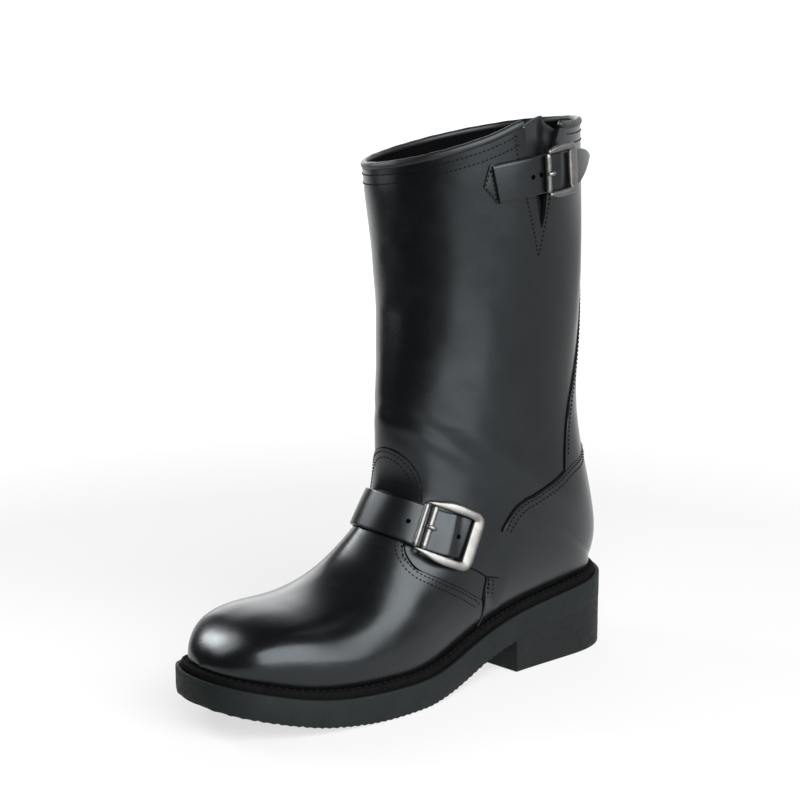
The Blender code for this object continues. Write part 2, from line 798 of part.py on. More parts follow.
def upper_patches(fine=1):
    """Grids of rows and places across for the whole upper, with the height of the vamp's step."""
    parts = (
        (behind, REAR_STEPS, 0.0),
        (before, FORE_STEPS, 0.0),
        (on_tongue, TONGUE_ACROSS, None),
        (beyond, INNER_STEPS, 1.0),
    )
    patches = []
    for place, steps, tongue_share in parts:
        columns = []
        for share in np.linspace(0.0, 1.0, steps * fine + 1):
            kept = share if tongue_share is None else tongue_share
            columns.append(settled_column(place, share, kept, fine))
        patches.append([np.array(part).T for part in zip(*columns)])
    front = [np.concatenate(part, axis=1) for part in zip(*patches[1:])]
    return [patches[0], front]


def normal_at(t, f):
    """Outward normal of the upper's outside."""
    nudge = 1e-3
    t = np.clip(np.asarray(t, float), nudge, COLLAR_ROW - nudge)
    f = np.clip(np.asarray(f, float), nudge, 2.0 - nudge)
    along = surface(t + nudge, f) - surface(t - nudge, f)
    over = surface(t, f + nudge) - surface(t, f - nudge)
    turn = np.cross(along, over)
    return turn / np.linalg.norm(turn, axis=-1)[..., None]


def raised(t, f, height):
    """Point at a height over the upper's outside."""
    return surface(t, f) + normal_at(t, f) * np.asarray(height)[..., None]


def shifted(t, f, distance):
    """Moves a line of places sideways over the surface, to its left as seen from outside."""
    points = surface(t, f)
    side = np.cross(normal_at(t, f), np.gradient(points, axis=0))
    side /= np.linalg.norm(side, axis=1)[:, None] + 1e-9
    goal = points + side * np.broadcast_to(distance, t.shape)[:, None]
    step = 0.004
    for _ in range(4):
        miss = goal - surface(t, f)
        up = (surface(t + step, f) - surface(t - step, f)) / (2.0 * step)
        over = (surface(t, f + step) - surface(t, f - step)) / (2.0 * step)
        a = np.sum(up * up, 1)
        b = np.sum(up * over, 1)
        c = np.sum(over * over, 1)
        p = np.sum(up * miss, 1)
        q = np.sum(over * miss, 1)
        scale = a * c - b * b + 1e-9
        t = np.clip(t + (p * c - q * b) / scale, 0.0, COLLAR_ROW)
        f = np.clip(f + (q * a - p * b) / scale, 0.0, 2.0)
    return t, f


def strap_edges(line, across, half_width, lift):
    """Lower and upper edge of a strap along a line on the upper, at the underside of the strap."""
    rows = smooth_column(line, "across", "row", across)
    lift = np.broadcast_to(lift, across.shape)
    return [raised(*shifted(rows, across, side * half_width), lift) for side in (1.0, -1.0)]


class Sheet:
    """Grids of one surface welded to one sheet, then thickened to a closed solid."""

    def __init__(self):
        self.points = []
        self.place = {}
        self.faces = []
        self.outer = []
        self.inner = []
        self.level = []

    def vertex(self, point, outer, inner, level):
        key = tuple(np.round(point * 500.0).astype(int))
        if key not in self.place:
            self.place[key] = len(self.points)
            self.points.append(point)
            self.outer.append(outer)
            self.inner.append(inner)
            self.level.append(level)
        return self.place[key]

    def grid(self, points, outer, inner, level=False):
        """Adds a grid of points; the thickness lies level where an edge sits on the sole."""
        outer, inner, level = [np.broadcast_to(part, points.shape[:2]) for part in (outer, inner, level)]
        index = [[self.vertex(points[i, j], outer[i, j], inner[i, j], level[i, j])
                  for j in range(points.shape[1])] for i in range(points.shape[0])]
        for i in range(len(index) - 1):
            for j in range(len(index[0]) - 1):
                quad = [index[i][j], index[i + 1][j], index[i + 1][j + 1], index[i][j + 1]]
                face = [q for n, q in enumerate(quad) if q not in quad[:n]]
                if len(face) > 2:
                    self.faces.append(tuple(face))

    def normals(self):
        points = np.array(self.points)
        total = np.zeros_like(points)
        for face in self.faces:
            corner = points[list(face)]
            turn = np.zeros(3)
            for i in range(1, len(face) - 1):
                turn += np.cross(corner[i] - corner[0], corner[i + 1] - corner[0])
            for i in face:
                total[i] += turn
        total[np.array(self.level), 2] = 0.0
        return total / np.linalg.norm(total, axis=1)[:, None]

    def solid(self, name, finish):
        points = np.array(self.points)
        normal = self.normals()
        outside = points + normal * np.array(self.outer)[:, None]
        inside = points + normal * np.array(self.inner)[:, None]
        count = len(points)
        faces = list(self.faces) + [tuple(i + count for i in reversed(face)) for face in self.faces]
        seen = {}
        for face in self.faces:
            for a, b in zip(face, face[1:] + face[:1]):
                seen[(a, b)] = True
        for a, b in list(seen):
            if (b, a) not in seen:
                faces.append((b, a, a + count, b + count))
        return add_solid(name, np.r_[outside, inside], faces, finish)


def build_upper():
    """Hollow upper: one leather shell, open at the collar and at the feather line, with the side slit."""
    sheet = Sheet()
    for t, f, step in upper_patches():
        sheet.grid(surface(t, f), step, -WALL, sits_on_sole(t, f))
    sheet.solid("upper", "black_leather")


def sits_on_sole(t, f):
    """True for places on the edge that meets the sole."""
    return (t < HEEL_ROW + 0.05) & ((f < 0.001) | (f > 1.999) | (t < 0.001))


def side_patch(sheet, rows, low, high, share, outer, inner):
    """Adds the patch between two edges on the outer side and its twin on the inner side."""
    t = np.repeat(rows[:, None], len(share), axis=1)
    f = low[:, None] + share[None, :] * (high - low)[:, None]
    on_sole = (t < HEEL_ROW + 0.05) & (share < 0.001)[None, :]
    outer = np.broadcast_to(outer, t.shape)
    sheet.grid(surface(t, f), outer, inner, on_sole)
    sheet.grid(surface(t, 2.0 - f)[:, ::-1], outer[:, ::-1], inner, on_sole[:, ::-1])


def build_counter():
    """Heel counter: wraps the heel from the side seam to the back, up to its curved top edge."""
    rows = grid_rows(COUNTER_GRID)
    high = counter_edge(rows)
    high[-1] = 0.0
    gap = column(COUNTER_HEIGHT, "row", "gap", rows)[:, None]
    sheet = Sheet()
    share = np.linspace(0.0, 1.0, COUNTER_STEPS + 1)
    low = column(COUNTER_LOW, "row", "across", rows)
    side_patch(sheet, rows, low, high, share, gap + COUNTER_THICK, gap)
    sheet.solid("heel_counter", "black_leather")


def stay_edges(rows, clear):
    """Lower and upper edge of the back stay at each row; below, it starts at the counter's edge."""
    high = smooth_column(STAY, "row", "edge_across", rows)
    low = np.where(rows < COUNTER["row"][-1] + SEAM_GAP, counter_edge(rows) + clear, 0.0)
    return np.minimum(low, high - STAY_NARROW), high


def build_back_stay():
    """Narrow panel up the back of the shaft from the counter to the collar."""
    rows = grid_rows(STAY_GRID)
    low, high = stay_edges(rows, STAY_GAP)
    gap = column(STAY_HEIGHT, "row", "gap", rows)[:, None]
    sheet = Sheet()
    side_patch(sheet, rows, low, high, np.linspace(0.0, 1.0, STAY_STEPS + 1), gap + STAY_THICK, gap)
    sheet.solid("back_stay", "black_leather")


def path_tangents(points):
    """Unit tangents of an open path."""
    ahead = np.gradient(points, axis=0)
    return ahead / np.linalg.norm(ahead, axis=1)[:, None]


def sweep(name, points, lift, half_side, half_up, sides, finish):
    """Solid bar along a path with an oval section; lift gives the up direction."""
    points = np.asarray(points, float)
    tangent = path_tangents(points)
    side = np.cross(tangent, np.broadcast_to(lift, points.shape))
    side /= np.linalg.norm(side, axis=1)[:, None]
    up = np.cross(side, tangent)
    angle = np.linspace(0.0, 2.0 * np.pi, sides, endpoint=False) + np.pi / sides
    wide = np.broadcast_to(half_side, len(points))[:, None] * np.cos(angle)
    tall = np.broadcast_to(half_up, len(points))[:, None] * np.sin(angle)
    ring = points[:, None, :] + side[:, None, :] * wide[:, :, None] + up[:, None, :] * tall[:, :, None]
    count = len(points)
    faces = []
    for i in range(count - 1):
        for k in range(sides):
            m = (k + 1) % sides
            faces.append((i * sides + k, i * sides + m, (i + 1) * sides + m, (i + 1) * sides + k))
    faces.append(tuple(range(sides)))
    faces.append(tuple((count - 1) * sides + k for k in reversed(range(sides))))
    return add_solid(name, ring.reshape(-1, 3), faces, finish)


def binding_path(stations, rise):
    """Line on the rim from the front edge of the slit round the collar to its rear edge."""
    front, rear = slit_edges(BINDING_ROW)
    f = np.linspace(front + BINDING_GAP, BACK_LINE + rear, stations)
    turned = np.where(f > BACK_LINE, f - BACK_LINE, f)
    points = raised(rim_row(turned), turned, np.full(f.shape, -0.5 * WALL))
    points[:, 2] += BINDING_RADIUS + rise
    return points


def build_binding():
    """Rolled binding on the rim."""
    points = binding_path(BINDING_STATIONS, BINDING_RISE)
    sweep("collar_binding", points, (0.0, 0.0, 1.0), BINDING_RADIUS, BINDING_RADIUS, BINDING_SIDES,
          "trim_leather")


def gusset_grid(row_count, share_count):
    """Points of the bellows on the upper's surface, and how far each lies behind it."""
    rows = np.linspace(*GUSSET_ROWS, row_count)
    share = np.linspace(0.0, 1.0, share_count)
    front, rear = slit_edges(rows)
    f = (front + GUSSET_LAP)[:, None] + share[None, :] * (rear - front - 2.0 * GUSSET_LAP)[:, None]
    crest = column(GUSSET_CREST, "share", "row", share)
    rise = (crest - rows[0]) / (rows[-1] - rows[0])
    t = rows[0] + (rows[:, None] - rows[0]) * rise[None, :]
    opened = np.clip((rows - GUSSET_OPEN[0]) / (GUSSET_OPEN[1] - GUSSET_OPEN[0]), 0.0, 1.0)[:, None]
    return surface(t, f), opened * column(GUSSET_FOLD, "share", "depth", share)[None, :]


def build_gusset():
    """Bellows leather behind the slit, folded inwards, fixed inside both edges."""
    points, folded = gusset_grid(*GUSSET_STEPS)
    drop = (WALL + GUSSET_CLEAR + GUSSET_DEPTH * folded)[:, ::-1]
    sheet = Sheet()
    sheet.grid(points[:, ::-1], -drop, -drop - GUSSET_THICK)
    sheet.solid("gusset", "trim_leather")


def strap_sheet(name, low, high):
    """Strap between its two edges, flat across."""
    share = np.linspace(0.0, 1.0, STRAP_STEPS + 1)[:, None, None]
    thick = TAB_THICK if name.endswith("tab") else STRAP_THICK
    sheet = Sheet()
    sheet.grid(low[None] + share * (high - low)[None], thick, 0.0)
    return sheet.solid(name, "black_leather")


def build_straps():
    """Instep strap, top strap with its free pointed end, and the pointed tab that is sewn on in front."""
    across = np.linspace(*INSTEP_SPAN, INSTEP_STATIONS)
    lift = column(INSTEP_LIFT, "across", "lift", across)
    strap_sheet("instep_strap", *strap_edges(INSTEP, across, 0.5 * STRAP_WIDTH, lift))
    across = np.linspace(*TOP_STRAP_SPAN, TOP_STRAP_STATIONS)
    width = 0.5 * TOP_STRAP_WIDTH * column(TOP_STRAP_POINT, "across", "share", across)
    lift = column(TOP_STRAP_LIFT, "across", "lift", across)
    strap_sheet("top_strap", *strap_edges(TOP_STRAP, across, width, lift))
    across = np.linspace(*TAB_SPAN, TAB_STATIONS)
    width = 0.5 * TOP_STRAP_WIDTH * column(TAB_POINT, "across", "share", across)
    strap_sheet("top_strap_tab", *strap_edges(TOP_STRAP, across, width, MEETING_GAP))


# Buckles: place along the strap, shift across it, turn on it and bend along it, height of the metal's middle
# over the strap's underside, half sizes of the window, widths of side bars and end bar, share of a side bar's
# width at the tip of its arm, and how far the axes of the roller and of the inner bar lie in front of the
# window, with their radii. The top buckle has no inner bar.
BUCKLE_COLUMNS = ("across", "shift", "turn", "bend", "level", "half_length", "half_height", "side_bar",
                  "end_bar", "arm_tip", "roller_out", "roller_radius", "bar_out", "bar_radius")
BUCKLE_ROWS = {
    "instep_buckle": (0.597, 0.0, -6.5, 75.0, 5.0, 11.6, 13.3, 5.4, 7.4, 0.25, 7.8, 1.7, 2.7, 2.2),
    "top_buckle": (0.444, 1.0, 4.8, 66.0, 4.8, 8.3, 11.3, 4.0, 7.2, 0.6, 2.2, 1.8, None, None),
}
# Upper half of a buckle's frame from the roller to the middle of the end bar: inner edge and outer edge, as
# shares of the window's half length and half height, with the parts of the bars' widths added to them.
FRAME_COLUMNS = ("inner_u", "inner_v", "outer_u", "outer_v", "outer_u_bar", "outer_v_bar")
FRAME_ROWS = (
    (-1.0, 1.0, -1.0, 1.0, 0.0, 0.60),
    (-0.5, 1.0, -0.5, 1.0, 0.0, 0.88),
    (0.1, 1.0, 0.1, 1.0, 0.0, 1.00),
    (0.7, 1.0, 0.8, 1.0, 0.0, 0.92),
    (0.9, 1.0, 1.0, 1.0, 0.45, 0.72),
    (0.98, 0.98, 1.0, 1.0, 0.84, 0.28),
    (1.0, 0.9, 1.0, 0.9, 0.97, -0.1),
    (1.0, 0.5, 1.0, 0.5, 1.0, 0.0),
    (1.0, 0.0, 1.0, 0.0, 1.0, 0.0),
)
FRAME_HALF = 1.5
FRAME_SIDES = 8
BAR_SIDES = 10
PRONG_RADIUS = 1.1
PRONG_SIDES = 6
# The prong bends round its bar from this angle to that one, 0 being level towards the window.
PRONG_BEND = (115.0, -5.0)
PRONG_STATIONS = 5


class Seat:
    """Local frame on a strap: u along it to the rear, v across it upwards, n away from the boot."""

    def __init__(self, line, half_width, lift, across, shift, turn, bend):
        step = 0.01
        near = across + np.array([-step, 0.0, step])
        low, high = strap_edges(line, near, half_width, lift)
        middle = 0.5 * (low + high)
        u = middle[0] - middle[2]
        v = high[1] - low[1]
        n = np.cross(u, v)
        self.n = n / np.linalg.norm(n)
        u /= np.linalg.norm(u)
        v = np.cross(self.n, u)
        angle = np.radians(turn)
        self.u = np.cos(angle) * u + np.sin(angle) * v
        self.v = np.cos(angle) * v - np.sin(angle) * u
        self.origin = middle[1] + shift * self.v
        self.bend = bend

    def at(self, u, v, height):
        """Point at a place on the seat; the seat bends with the strap along u."""
        u = np.asarray(u, float)[..., None]
        v = np.asarray(v, float)[..., None]
        rise = np.asarray(height, float)[..., None] - u * u / (2.0 * self.bend)
        return self.origin + u * self.u + v * self.v + rise * self.n


def buckle_frame(r):
    """Middle line and half widths of a buckle's frame, from the tip of one arm round to the other."""
    tip = -r["half_length"] - r["roller_out"]
    inner = [(tip, r["half_height"])]
    outer = [(tip, r["half_height"] + r["arm_tip"] * r["side_bar"])]
    for row in FRAME_ROWS:
        w = dict(zip(FRAME_COLUMNS, row))
        inner.append((w["inner_u"] * r["half_length"], w["inner_v"] * r["half_height"]))
        outer.append((w["outer_u"] * r["half_length"] + w["outer_u_bar"] * r["end_bar"],
                      w["outer_v"] * r["half_height"] + w["outer_v_bar"] * r["side_bar"]))
    inner = np.array(inner)
    outer = np.array(outer)
    flip = np.array([1.0, -1.0])
    inner = np.r_[inner, (inner * flip)[-2::-1]]
    outer = np.r_[outer, (outer * flip)[-2::-1]]
    return 0.5 * (inner + outer), 0.5 * np.linalg.norm(outer - inner, axis=1)


def prong_path(r):
    """Middle line of the short prong, bent over the inner bar, or over the roller, down towards the strap."""
    bar = "roller" if r["bar_out"] is None else "bar"
    place = -r["half_length"] - r[bar + "_out"]
    reach = r[bar + "_radius"] + PRONG_RADIUS + MEETING_GAP
    angle = np.radians(np.linspace(*PRONG_BEND, PRONG_STATIONS))
    return np.c_[place + reach * np.cos(angle), r["level"] + reach * np.sin(angle)]


def build_buckle(name, seat):
    """Buckle: cast frame with a broad end bar, roller across its open end, inner bar if any, short prong."""
    r = dict(zip(BUCKLE_COLUMNS, BUCKLE_ROWS[name]))
    level = r["level"]
    middle, half = buckle_frame(r)
    points = seat.at(middle[:, 0], middle[:, 1], level)
    sweep(name + "_frame", points, seat.n, half, FRAME_HALF, FRAME_SIDES, "nickel_plate")
    reach = r["half_height"] - MEETING_GAP
    cross = np.array([-reach, 0.0, reach])
    for part in ("roller", "bar"):
        out, radius = r[part + "_out"], r[part + "_radius"]
        if out is not None:
            line = seat.at(-r["half_length"] - out, cross, level)
            sweep(name + "_" + part, line, seat.n, radius, radius, BAR_SIDES, "nickel_plate")
    prong = prong_path(r)
    line = seat.at(prong[:, 0], 0.0, prong[:, 1])
    sweep(name + "_prong", line, seat.v, PRONG_RADIUS, PRONG_RADIUS, PRONG_SIDES, "nickel_plate")


def buckle_seats():
    """Seat of each buckle on its strap."""
    seats = {}
    for name, line, width, lifts in (("instep_buckle", INSTEP, STRAP_WIDTH, INSTEP_LIFT),
                                     ("top_buckle", TOP_STRAP, TOP_STRAP_WIDTH, TOP_STRAP_LIFT)):
        seats[name] = Seat(line, 0.5 * width, lifts["lift"].min(), *BUCKLE_ROWS[name][:4])
    return seats


def build():
    for thing in list(bpy.data.objects):
        bpy.data.objects.remove(thing, do_unlink=True)
    boot = bpy.data.objects.new("boot", None)
    boot.location = (-MIDDLE_X * METRES, 0.0, 0.0)
    bpy.context.scene.collection.objects.link(boot)
    build_sole()
    build_upper()
    build_counter()
    build_back_stay()
    build_binding()
    build_gusset()
    build_straps()
    for name, seat in buckle_seats().items():
        build_buckle(name, seat)


build()
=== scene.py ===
"""Looks of the left biker boot: leather, stitching, creases, lining, rubber and plated buckles.

Sizes are millimetres here and become metres when a mesh is made. The toe points to -Y, the heel to +Y,
the outer side to +X and up is +Z. The tables and the surface of the upper repeat those of the solids, so
that each piece follows the solid that it replaces, only finer.
"""
import math
import bpy
import numpy as np
from mathutils import Matrix

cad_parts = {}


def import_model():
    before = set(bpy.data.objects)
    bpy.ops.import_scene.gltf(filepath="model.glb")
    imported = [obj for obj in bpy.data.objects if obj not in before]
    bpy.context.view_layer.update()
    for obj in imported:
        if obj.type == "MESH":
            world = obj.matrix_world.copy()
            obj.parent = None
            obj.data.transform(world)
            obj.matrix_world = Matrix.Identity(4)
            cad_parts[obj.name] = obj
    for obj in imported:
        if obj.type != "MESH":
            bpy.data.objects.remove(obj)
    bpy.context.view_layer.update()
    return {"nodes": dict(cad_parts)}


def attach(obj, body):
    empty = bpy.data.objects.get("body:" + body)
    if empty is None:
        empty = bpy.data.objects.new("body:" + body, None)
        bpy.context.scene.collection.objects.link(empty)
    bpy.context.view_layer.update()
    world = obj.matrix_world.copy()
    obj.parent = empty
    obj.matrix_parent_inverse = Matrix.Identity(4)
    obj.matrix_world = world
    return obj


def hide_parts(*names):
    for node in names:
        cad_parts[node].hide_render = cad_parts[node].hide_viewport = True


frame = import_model()


def table(names, rows):
    """Columns of a table under their names."""
    return dict(zip(names, np.array(rows).T))


METRES = 0.001
UP = (0.0, 0.0, 1.0)
# Half way between the widest points of the whole boot.
MIDDLE_X = 4.7

SOLE_LENGTH = 305.4
BALL_WIDTH = 109.2
HEEL_WIDTH = 79.4
# The outline changes from shares of the ball width to shares of the heel width over this stretch.
WAIST_START = 0.45
WAIST_SPAN = 0.30
HEEL_SHARE = 0.714
OUTLINE_POINTS = 1440
FEATHER_INSET = 8.5
WELT_INSET = 3.4
WELT_RISE = 4.0
MEETING_GAP = 0.3
WALL = 2.2
VAMP_STEP = 1.2
LOW_POWER = 2.1
SEAT_GROOVE = 1.4
BREAST_Y = 58.5
BREAST_SLANT = 0.10
TOP_PIECE_HEIGHT = 14.6
INSOLE_INSET = 13.4
INSOLE_THICK = 2.6

# Half outlines of the sole as shares of its length and of the ball or heel width.
SHAPE = table(("along", "outer", "inner"), (
    (0.000, -0.035, -0.035), (0.013, 0.155, -0.205), (0.038, 0.270, -0.310), (0.090, 0.375, -0.400),
    (0.160, 0.445, -0.455), (0.240, 0.485, -0.485), (0.320, 0.505, -0.495), (0.390, 0.503, -0.465),
    (0.480, 0.468, -0.400), (0.575, 0.415, -0.355), (0.675, 0.378, -0.340), (0.770, 0.364, -0.346),
    (0.850, 0.358, -0.350), (0.913, 0.336, -0.330), (0.962, 0.265, -0.260), (0.987, 0.165, -0.163),
    (1.000, 0.000, 0.000),
))

# Height of the sole's top edge and of its underside along its length.
SOLE = table(("y", "top", "under"), (
    (-153.0, 34.5, 18.5), (-137.0, 31.0, 14.5), (-112.0, 24.7, 8.0), (-94.0, 21.0, 4.0),
    (-78.0, 19.0, 1.8), (-62.0, 18.0, 0.4), (-48.0, 17.7, 0.0), (-22.0, 17.7, 0.0), (-5.0, 20.0, 2.2),
    (14.5, 25.4, 7.2), (31.0, 30.2, 12.7), (58.5, 36.8, 19.4), (87.0, 41.0, 22.6), (114.0, 44.3, 25.3),
    (153.0, 48.6, 28.5),
))

# Sections of the upper from the toe to the heel: each runs from the feather line up to the ridge.
FOOT_COLUMNS = ("foot_y", "ridge_y", "ridge_z", "ridge_x", "half_outer", "half_inner", "widest",
                "crown", "split")
FOOT_ROWS = (
    (-144.2, -144.2, 38.5, -4.0, -3.5, 3.5, 0.32, 2.6, 0.30),
    (-142.0, -141.5, 45.0, -4.5, 11.0, 17.0, 0.32, 2.6, 0.30),
    (-136.0, -134.5, 52.5, -5.5, 23.5, 28.0, 0.32, 2.6, 0.30),
    (-126.0, -125.0, 59.0, -6.5, 32.5, 37.0, 0.32, 2.55, 0.30),
    (-113.0, -114.5, 63.0, -7.0, 38.5, 42.0, 0.31, 2.45, 0.30),
    (-97.0, -100.5, 65.0, -7.0, 43.0, 45.0, 0.29, 2.3, 0.30),
    (-78.0, -82.0, 66.0, -7.0, 46.5, 47.0, 0.27, 2.1, 0.30),
    (-58.0, -63.5, 69.5, -7.0, 48.5, 48.0, 0.26, 2.0, 0.30),
    (-36.0, -46.5, 78.0, -6.5, 48.5, 45.5, 0.26, 1.95, 0.30),
    (-13.0, -32.0, 91.0, -6.0, 46.5, 40.0, 0.26, 1.95, 0.31),
    (12.0, -20.0, 104.0, -5.0, 43.0, 36.5, 0.27, 1.95, 0.33),
    (38.0, -13.5, 116.0, -4.0, 41.0, 37.0, 0.29, 2.0, 0.35),
    (64.0, -11.5, 128.5, -3.0, 41.0, 39.5, 0.32, 2.0, 0.37),
    (90.0, -12.0, 139.5, -2.0, 41.5, 41.0, 0.35, 2.0, 0.39),
    (114.0, -13.0, 149.0, -1.0, 42.0, 42.0, 0.38, 2.05, 0.41),
    (131.5, -13.5, 157.0, -0.5, 43.0, 43.0, 0.41, 2.05, 0.43),
    (141.0, -13.5, 164.0, 0.0, 43.5, 43.5, 0.43, 2.1, 0.45),
    (144.2, -12.5, 171.0, 0.0, 44.5, 44.5, 0.445, 2.1, 0.46),
)

# Sections from the heel to the collar: each is a closed ring from the back line to the front line.
SHAFT_COLUMNS = ("back_y", "back_z", "front_y", "front_z", "half_outer", "half_inner", "widest",
                 "crown", "split", "side_rise")
SHAFT_ROWS = (
    (147.5, 64.0, -12.0, 178.5, 46.5, 46.5, 0.46, 2.1, 0.47, 0.0),
    (146.0, 82.0, -11.0, 188.0, 47.0, 47.0, 0.47, 2.1, 0.48, 0.0),
    (140.5, 103.0, -10.0, 199.0, 47.5, 47.5, 0.48, 2.1, 0.49, 0.0),
    (133.5, 126.0, -9.0, 210.0, 48.5, 48.5, 0.49, 2.1, 0.50, 0.0),
    (128.0, 151.0, -8.0, 222.0, 49.5, 49.5, 0.50, 2.1, 0.50, 0.0),
    (126.0, 176.0, -7.5, 235.0, 51.0, 51.0, 0.50, 2.1, 0.50, 0.0),
    (127.0, 202.0, -8.5, 250.0, 52.5, 52.5, 0.50, 2.1, 0.50, 0.02),
    (128.0, 230.0, -9.5, 266.0, 54.0, 54.0, 0.50, 2.1, 0.50, 0.04),
    (127.5, 260.0, -11.5, 283.0, 55.5, 55.5, 0.50, 2.1, 0.50, 0.06),
    (126.0, 290.0, -13.5, 298.0, 56.5, 56.5, 0.50, 2.1, 0.50, 0.08),
    (124.5, 316.0, -14.5, 309.0, 57.0, 57.0, 0.50, 2.1, 0.50, 0.10),
    (123.0, 338.0, -15.0, 316.0, 57.5, 57.5, 0.50, 2.1, 0.50, 0.11),
    (121.5, 357.0, -14.5, 328.0, 58.0, 58.0, 0.50, 2.1, 0.50, 0.11),
)
HEEL_ROW = len(FOOT_ROWS) - 1
COLLAR_ROW = len(FOOT_ROWS) + len(SHAFT_ROWS) - 1

GROOVE_PITCH = 12.0
GROOVE_WIDTH = 3.0
GROOVE_DEPTH = 2.4
GROOVE_EDGE = 0.3
GROOVE_CLEAR = 0.2
GROOVE_TOUCH = 0.05
GROOVE_SPANS = ((-134.0, -58.0), (-12.0, 40.0))

# Places on the upper are given as a section row and a place across: 0 is the outer foot or back line,
# 1 the ridge or front line, 2 the inner foot or back line.
RIM = table(("across", "row"), (
    (0.00, 28.75), (0.28, 28.75), (0.40, 28.90), (0.54, 29.35), (0.62, 29.15), (0.70, 28.95),
    (0.80, 28.75), (0.88, 28.60), (1.00, 28.45), (1.12, 28.45), (1.30, 28.60), (1.50, 28.75),
    (2.00, 28.75),
))
VAMP = table(("across", "row"), (
    (0.00, 10.50), (0.10, 10.65), (0.25, 11.00), (0.29, 11.05), (0.38, 10.75), (0.45, 10.40),
    (0.54, 9.95), (0.63, 9.55), (0.68, 9.50), (1.00, 9.50),
))
TONGUE = table(("row", "outer_across", "inner_across"), (
    (0.0, 0.690, 1.310), (9.5, 0.700, 1.300), (9.8, 0.735, 1.270), (10.5, 0.745, 1.250),
    (11.5, 0.750, 1.240), (12.6, 0.775, 1.205), (16.0, 0.790, 1.190), (30.0, 0.790, 1.190),
))
TONGUE_TOP = table(("share", "row"), (
    (0.00, 12.60), (0.07, 13.15), (0.16, 13.50), (0.28, 13.70), (0.42, 13.75), (0.58, 13.65),
    (0.74, 13.45), (0.88, 13.10), (1.00, 12.60),
))
SLIT_FOOT = 26.1
SLIT = table(("row", "front_across", "rear_across"), (
    (SLIT_FOOT, 0.490, 0.490), (26.45, 0.500, 0.475), (27.20, 0.520, 0.465), (28.20, 0.535, 0.440),
    (29.40, 0.545, 0.390),
))
COUNTER = table(("row", "top_across"), (
    (10.50, 0.000), (10.65, 0.090), (11.00, 0.240), (11.40, 0.330), (12.00, 0.395), (13.00, 0.460),
    (14.00, 0.490), (15.50, 0.505), (17.00, 0.495), (18.00, 0.467), (19.00, 0.415), (20.00, 0.335),
    (20.70, 0.245), (21.20, 0.135), (21.45, 0.000),
))
STAY = table(("row", "edge_across"), (
    (19.6, 0.390), (21.0, 0.360), (22.0, 0.310), (23.0, 0.250), (23.8, 0.205), (24.7, 0.165),
    (26.0, 0.130), (27.4, 0.105), (28.7, 0.092),
))
# Stretches of rows for a grid.
GRID_COLUMNS = ("first_row", "last_row", "count")
COUNTER_GRID = (
    (10.68, 12.40, 6),
    (13.20, 20.40, 11),
    (20.75, 21.45, 4),
)
# How far the counter's lower edge keeps off the back of the heel.
COUNTER_LOW = table(("row", "across"), (
    (15.6, 0.06), (17.0, 0.0),
))
SEAM_GAP = 0.04
STAY_NARROW = 0.004

INSTEP = table(("across", "row"), (
    (0.455, 12.5), (0.500, 12.2), (0.595, 11.5), (0.710, 10.9), (0.835, 10.5), (0.950, 10.3),
    (1.060, 10.3), (1.180, 10.5), (1.300, 10.9), (1.410, 11.5), (1.500, 12.2), (1.545, 12.5),
))
TOP_STRAP = table(("across", "row"), (
    (0.190, 27.91), (0.250, 27.83), (0.300, 27.74), (0.350, 27.64), (0.400, 27.58), (0.470, 27.55),
    (0.560, 27.42), (0.640, 27.27), (0.690, 27.10),
))
# Height of each strap's underside over the upper, raised over the tongue and inside the buckle.
INSTEP_LIFT = table(("across", "lift"), (
    (0.530, 0.8), (0.570, 0.8), (0.585, 1.6), (0.605, 1.6), (0.625, 0.8), (0.640, 0.9), (0.730, 1.9),
    (1.270, 1.9), (1.390, 0.8), (1.520, 0.8),
))
TOP_STRAP_LIFT = table(("across", "lift"), (
    (0.220, 3.2), (0.250, 2.6), (0.280, 2.2), (0.310, 1.9), (0.400, 1.8), (0.420, 2.5), (0.455, 2.5),
    (0.475, 1.8), (0.650, 1.8),
))
# Share of the full width along the pointed ends.
TOP_STRAP_POINT = table(("across", "share"), (
    (0.220, 0.05), (0.235, 0.22), (0.250, 0.37), (0.275, 0.58), (0.305, 0.78), (0.330, 0.91),
    (0.360, 1.00), (0.650, 1.00),
))
TAB_POINT = table(("across", "share"), (
    (0.590, 0.90), (0.620, 0.96), (0.643, 1.05), (0.657, 0.58), (0.672, 0.05),
))
INSTEP_SPAN = (0.535, 1.52)
TOP_STRAP_SPAN = (0.220, 0.641)
TAB_SPAN = (0.590, 0.672)

VAMP_STEPS = 11
TONGUE_STEPS = 6
SHAFT_STEPS = 12
COLLAR_STEPS = 5
REAR_STEPS = 7
FORE_STEPS = 4
TONGUE_ACROSS = 8
INNER_STEPS = 9
# Places count as lying on the sole's edge within this part of a row and across.
NEAR_ROW = 0.05
NEAR_LINE = 0.001
EDGE_SPLIT = 0.015
SIDE_SPLIT = 0.006
SETTLE_ROUNDS = 12
SHIFT_ROUNDS = 4

COUNTER_THICK = 1.4
STAY_THICK = 1.1
STRAP_THICK = 2.2
STRAP_WIDTH = 26.0
TOP_STRAP_WIDTH = 22.4
TAB_THICK = 1.1
BINDING_RADIUS = 1.9
BINDING_ROW = 29.0
BINDING_GAP = 0.004
BACK_LINE = 1.999

